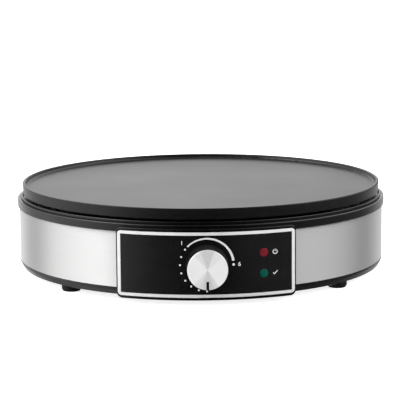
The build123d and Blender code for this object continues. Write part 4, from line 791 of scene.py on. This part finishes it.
class CREPE_OT_housing(PartFinish, bpy.types.Operator):
    """Finish the black mouldings round the body"""
    bl_idname = "crepe.housing"
    bl_label = "Black mouldings"
    parts = ("upper_ring", "base_shell", "panel_housing", "cord_gland", "cord_clamp")


class CREPE_OT_steel_band(PartFinish, bpy.types.Operator):
    """Brush the steel band"""
    bl_idname = "crepe.steel_band"
    bl_label = "Steel band"
    parts = ("steel_band",)


class CREPE_OT_panel(PartFinish, bpy.types.Operator):
    """Finish the fascia and its silver frame line"""
    bl_idname = "crepe.panel"
    bl_label = "Control panel"
    parts = ("panel_fascia", "panel_trim")


class CREPE_OT_knob(PartFinish, bpy.types.Operator):
    """Finish the heat knob and its spun cap"""
    bl_idname = "crepe.knob"
    bl_label = "Heat knob"
    parts = ("knob_body", "knob_cap")


class CREPE_OT_lamps(PartFinish, bpy.types.Operator):
    """Finish the signal lamps and their holder"""
    bl_idname = "crepe.lamps"
    bl_label = "Signal lamps"
    parts = ("red_lens", "green_lens", "neon_lamps", "lamp_holder")


class CREPE_OT_feet(PartFinish, bpy.types.Operator):
    """Finish the rubber feet"""
    bl_idname = "crepe.feet"
    bl_label = "Rubber feet"
    parts = ("rubber_feet",)


class CREPE_OT_heater(PartFinish, bpy.types.Operator):
    """Finish the element, its clips and the heat shield"""
    bl_idname = "crepe.heater"
    bl_label = "Heating element"
    parts = ("heating_element", "element_seals", "element_pins", "element_clips", "heat_shield",
             "plate_spacers")


class CREPE_OT_fasteners(PartFinish, bpy.types.Operator):
    """Finish all the screws"""
    bl_idname = "crepe.fasteners"
    bl_label = "Screws"
    parts = tuple(sorted(part for part in SLOT_OF if "screw" in part))


class CREPE_OT_thermostat(PartFinish, bpy.types.Operator):
    """Finish the thermostat's parts"""
    bl_idname = "crepe.thermostat"
    bl_label = "Thermostat"
    parts = ("thermostat_spindle", "spindle_tip", "thermostat_bush", "thermostat_bracket", "thermostat_frame",
             "thermostat_ceramics", "upper_contact_spring", "lower_contact_spring", "thermostat_contacts",
             "bimetal_strip", "push_pin", "stack_rivet")


class CREPE_OT_wiring(PartFinish, bpy.types.Operator):
    """Finish the terminal block, the fuse and the leads"""
    bl_idname = "crepe.wiring"
    bl_label = "Wiring"
    parts = ("terminal_block", "terminal_inserts", "thermal_fuse", "fuse_clip", "fuse_crimps", "earth_tag",
             "push_on_terminals", "live_lead", "fuse_lead", "thermostat_lead", "neutral_lead", "earth_lead",
             "lamp_leads")


class PanelPrint:
    """What the printing operators share: the marks that each shapes are laid on the fascia."""
    bl_options = {"REGISTER", "UNDO"}

    def execute(self, context):
        print_on_fascia(self.shape(context.scene.crepe_marks), context.scene)
        return {"FINISHED"}


class CREPE_OT_dial_dots(PanelPrint, bpy.types.Operator):
    """Print the dots of the dial: small ones for the low settings and a larger one at the hot end"""
    bl_idname = "crepe.dial_dots"
    bl_label = "Dial dots"

    @staticmethod
    def shape(marks):
        dots = [flat_disc("dot", on_dial(index * marks.dot_pitch, marks.dial_radius), marks.dot / 2)
                for index in range(marks.dot_count)]
        dots.append(flat_disc("dot", on_dial(marks.end_angle, marks.dial_radius), marks.end_dot / 2))
        return joined("dial_dots", dots)


class CREPE_OT_dial_arc(PanelPrint, bpy.types.Operator):
    """Print the arc that swells towards the hot end"""
    bl_idname = "crepe.dial_arc"
    bl_label = "Dial arc"

    @staticmethod
    def shape(marks):
        return swept_arc("dial_arc", DIAL, marks.dial_radius, marks.arc_start, marks.arc_end,
                         marks.arc_thin, marks.arc_thick, ARC_STEPS)


class CREPE_OT_dial_numbers(PanelPrint, bpy.types.Operator):
    """Print a number at each end of the arc"""
    bl_idname = "crepe.dial_numbers"
    bl_label = "Dial numbers"

    @staticmethod
    def shape(marks):
        low = DIAL + Vector((-marks.low_left, 0.0, marks.low_up))
        high = DIAL + Vector((marks.high_right, 0.0, 0.0))
        return joined("dial_numbers", [figure("low", marks.low_figure, low, marks.figure),
                                       figure("high", marks.high_figure, high, marks.figure)])


class CREPE_OT_lamp_symbols(PanelPrint, bpy.types.Operator):
    """Print a power symbol and a tick beside the lamps"""
    bl_idname = "crepe.lamp_symbols"
    bl_label = "Lamp symbols"
    ring_turns = (215, 505)                                 # degrees, clockwise from straight down
    bar_ends = (0.25, 1.3)                                  # above the ring's middle, in its radii
    tick_corners = ((-1.0, 0.0), (-0.3, -0.7), (1.1, 0.9))  # x and z, in the same radii

    def shape(self, marks):
        half = marks.symbol / 2
        aside = Vector((marks.symbol_aside, 0.0, 0.0))
        power = faced("red_lens") + aside
        ready = faced("green_lens") + aside
        start, end = (math.radians(turn) for turn in self.ring_turns)
        ring = swept_arc("ring", power, half, start, end, marks.stroke, marks.stroke, RING_STEPS)
        bar = stroked("bar", [power + UP * half * up for up in self.bar_ends], marks.stroke)
        corners = [ready + Vector((x, 0.0, z)) * half for x, z in self.tick_corners]
        tick = stroked("tick", corners, marks.stroke)
        return joined("lamp_symbols", [ring, bar, tick])


class CREPE_OT_studio(bpy.types.Operator):
    """Set up the floor, the soft light and the camera"""
    bl_idname = "crepe.studio"
    bl_label = "Studio"
    bl_options = {"REGISTER", "UNDO"}

    def execute(self, context):
        studio = context.scene.crepe_studio
        self.floor(studio)
        self.surroundings(context.scene)
        self.lights(context.scene)
        self.camera(context.scene, studio)
        context.scene.view_settings.view_transform = "Standard"
        return {"FINISHED"}

    @staticmethod
    def floor(studio):
        """A plain pale floor that can be seen through from below."""
        deselect()
        bpy.ops.mesh.primitive_plane_add(size=FLOOR_SIZE, location=(0.0, AXIS_Y, 0.0))
        made = bpy.context.object
        made.name = "floor"
        made.visible_glossy = False
        finish = Finish("floor", studio.floor, 0.9, specular_ior_level=0.1)
        finish.tint(finish.noise(40 * MM, 3.0), 0.01)
        seen = finish.node("LightPath").outputs["Is Camera Ray"]
        finish.set("Emission Color", WHITE)
        finish.set("Emission Strength", finish.maths("MULTIPLY", seen, FLOOR_GLOW))
        clear = finish.node("BsdfTransparent")
        back = finish.node("NewGeometry").outputs["Backfacing"]
        mixed = finish.node("MixShader", {0: back, 1: finish.shader.outputs[0], 2: clear.outputs[0]})
        finish.plug(finish.tree.nodes["Material Output"].inputs["Surface"], mixed.outputs[0])
        made.data.materials.append(finish.material)

    @staticmethod
    def surroundings(scene):
        """A white studio that is bright at the left, greyer at the right and dim behind the camera."""
        scene.world = bpy.data.worlds.new("studio")
        scene.world.use_nodes = True
        graph = Graph(scene.world.node_tree)
        direction = graph.node("TexCoord").outputs["Generated"]
        x, y, z = graph.node("SeparateXYZ", {0: direction}).outputs
        turn = graph.maths("DEGREES", graph.maths("ARCTAN2", x, graph.maths("MULTIPLY", y, -1.0)))
        level = graph.ramp(turn, LEVEL_LIGHT, -180.0, 180.0)
        raised = graph.ramp(turn, RAISED_LIGHT, -180.0, 180.0)
        low, high = LEVEL_TO_RAISED
        slope = graph.node("MapRange", {"Value": z, "From Min": low, "From Max": high},
                           interpolation_type="SMOOTHSTEP").outputs[0]
        mixed = graph.node("Mix", {0: slope, 2: level, 3: raised}).outputs[0]
        light = graph.maths("MULTIPLY", mixed, graph.ramp(z, HEIGHT_LIGHT, -1.0, 1.0))
        seen = graph.node("LightPath").outputs["Is Camera Ray"]
        backdrop = graph.maths("MULTIPLY", seen, BACKDROP)
        shine = graph.tree.nodes["Background"].inputs
        graph.plug(shine["Strength"], graph.maths("MAXIMUM", light, backdrop))
        graph.plug(shine["Color"], WHITE)

    @staticmethod
    def lights(scene):
        """Three large soft lights: overhead, at the left, and above the camera."""
        for name, place, size, power, mirrored in LIGHTS:
            light = bpy.data.lights.new(name, "AREA")
            light.size = size
            light.energy = power
            made = bpy.data.objects.new(name, light)
            made.location = place
            made.visible_glossy = mirrored
            made.rotation_euler = (Vector(place) - LIT_POINT).to_track_quat("Z", "Y").to_euler()
            scene.collection.objects.link(made)

    @staticmethod
    def camera(scene, studio):
        """The camera, a little above the plate and almost square to the panel."""
        target = Vector((-studio.aim_left, AXIS_Y, studio.aim_up))
        away = Vector((-math.sin(studio.turn) * math.cos(studio.height),
                       -math.cos(studio.turn) * math.cos(studio.height), math.sin(studio.height)))
        right = Vector((math.cos(studio.turn), -math.sin(studio.turn), 0.0))
        level = Matrix((right, away.cross(right), away)).transposed()
        made = bpy.data.objects.new("camera", bpy.data.cameras.new("camera"))
        scene.collection.objects.link(made)
        made.data.lens = studio.focal
        made.data.sensor_width = SENSOR
        made.data.clip_start = NEAREST
        made.matrix_world = (Matrix.Translation(target + away * studio.distance)
                             @ (level @ Matrix.Rotation(studio.roll, 3, "Z")).to_4x4())
        scene.camera = made


OPERATORS = (CREPE_OT_studio, CREPE_OT_hotplate, CREPE_OT_housing, CREPE_OT_steel_band, CREPE_OT_panel,
             CREPE_OT_knob, CREPE_OT_lamps, CREPE_OT_feet, CREPE_OT_heater, CREPE_OT_fasteners,
             CREPE_OT_thermostat, CREPE_OT_wiring, CREPE_OT_dial_dots, CREPE_OT_dial_arc,
             CREPE_OT_dial_numbers, CREPE_OT_lamp_symbols)
SETTINGS = {"crepe_plate": PlateSettings, "crepe_housing": HousingSettings, "crepe_panel": PanelSettings,
            "crepe_marks": MarkSettings, "crepe_studio": StudioSettings}


class CREPE_PT_pieces(bpy.types.Panel):
    """Lists the pieces and their settings"""
    bl_label = "Crepe Maker"
    bl_idname = "CREPE_PT_pieces"
    bl_space_type = "VIEW_3D"
    bl_region_type = "UI"
    bl_category = "Crepe Maker"

    def draw(self, context):
        layout = self.layout
        for operator in OPERATORS:
            layout.operator(operator.bl_idname)
        for name, group in SETTINGS.items():
            box = layout.box()
            for setting in group.__annotations__:
                box.prop(getattr(context.scene, name), setting)


def register():
    """Registers the settings, the operators and the panel."""
    for name, group in SETTINGS.items():
        bpy.utils.register_class(group)
        setattr(bpy.types.Scene, name, PointerProperty(type=group))
    for made in (*OPERATORS, CREPE_PT_pieces):
        bpy.utils.register_class(made)


def unregister():
    """Takes back what register added."""
    for made in (CREPE_PT_pieces, *reversed(OPERATORS)):
        bpy.utils.unregister_class(made)
    for name, group in reversed(SETTINGS.items()):
        delattr(bpy.types.Scene, name)
        bpy.utils.unregister_class(group)


def main():
    """Builds everything in order and makes sure that every part gets a finish."""
    for plain in list(bpy.data.materials):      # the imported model's own, which have the same names
        bpy.data.materials.remove(plain)
    register()
    for operator in OPERATORS:
        group, name = operator.bl_idname.split(".")
        getattr(getattr(bpy.ops, group), name)()
    undressed = set(SLOT_OF) - {part for operator in OPERATORS for part in getattr(operator, "parts", ())}
    if undressed:
        raise RuntimeError(f"no operator finishes {sorted(undressed)}")


if __name__ == "__main__":
    main()
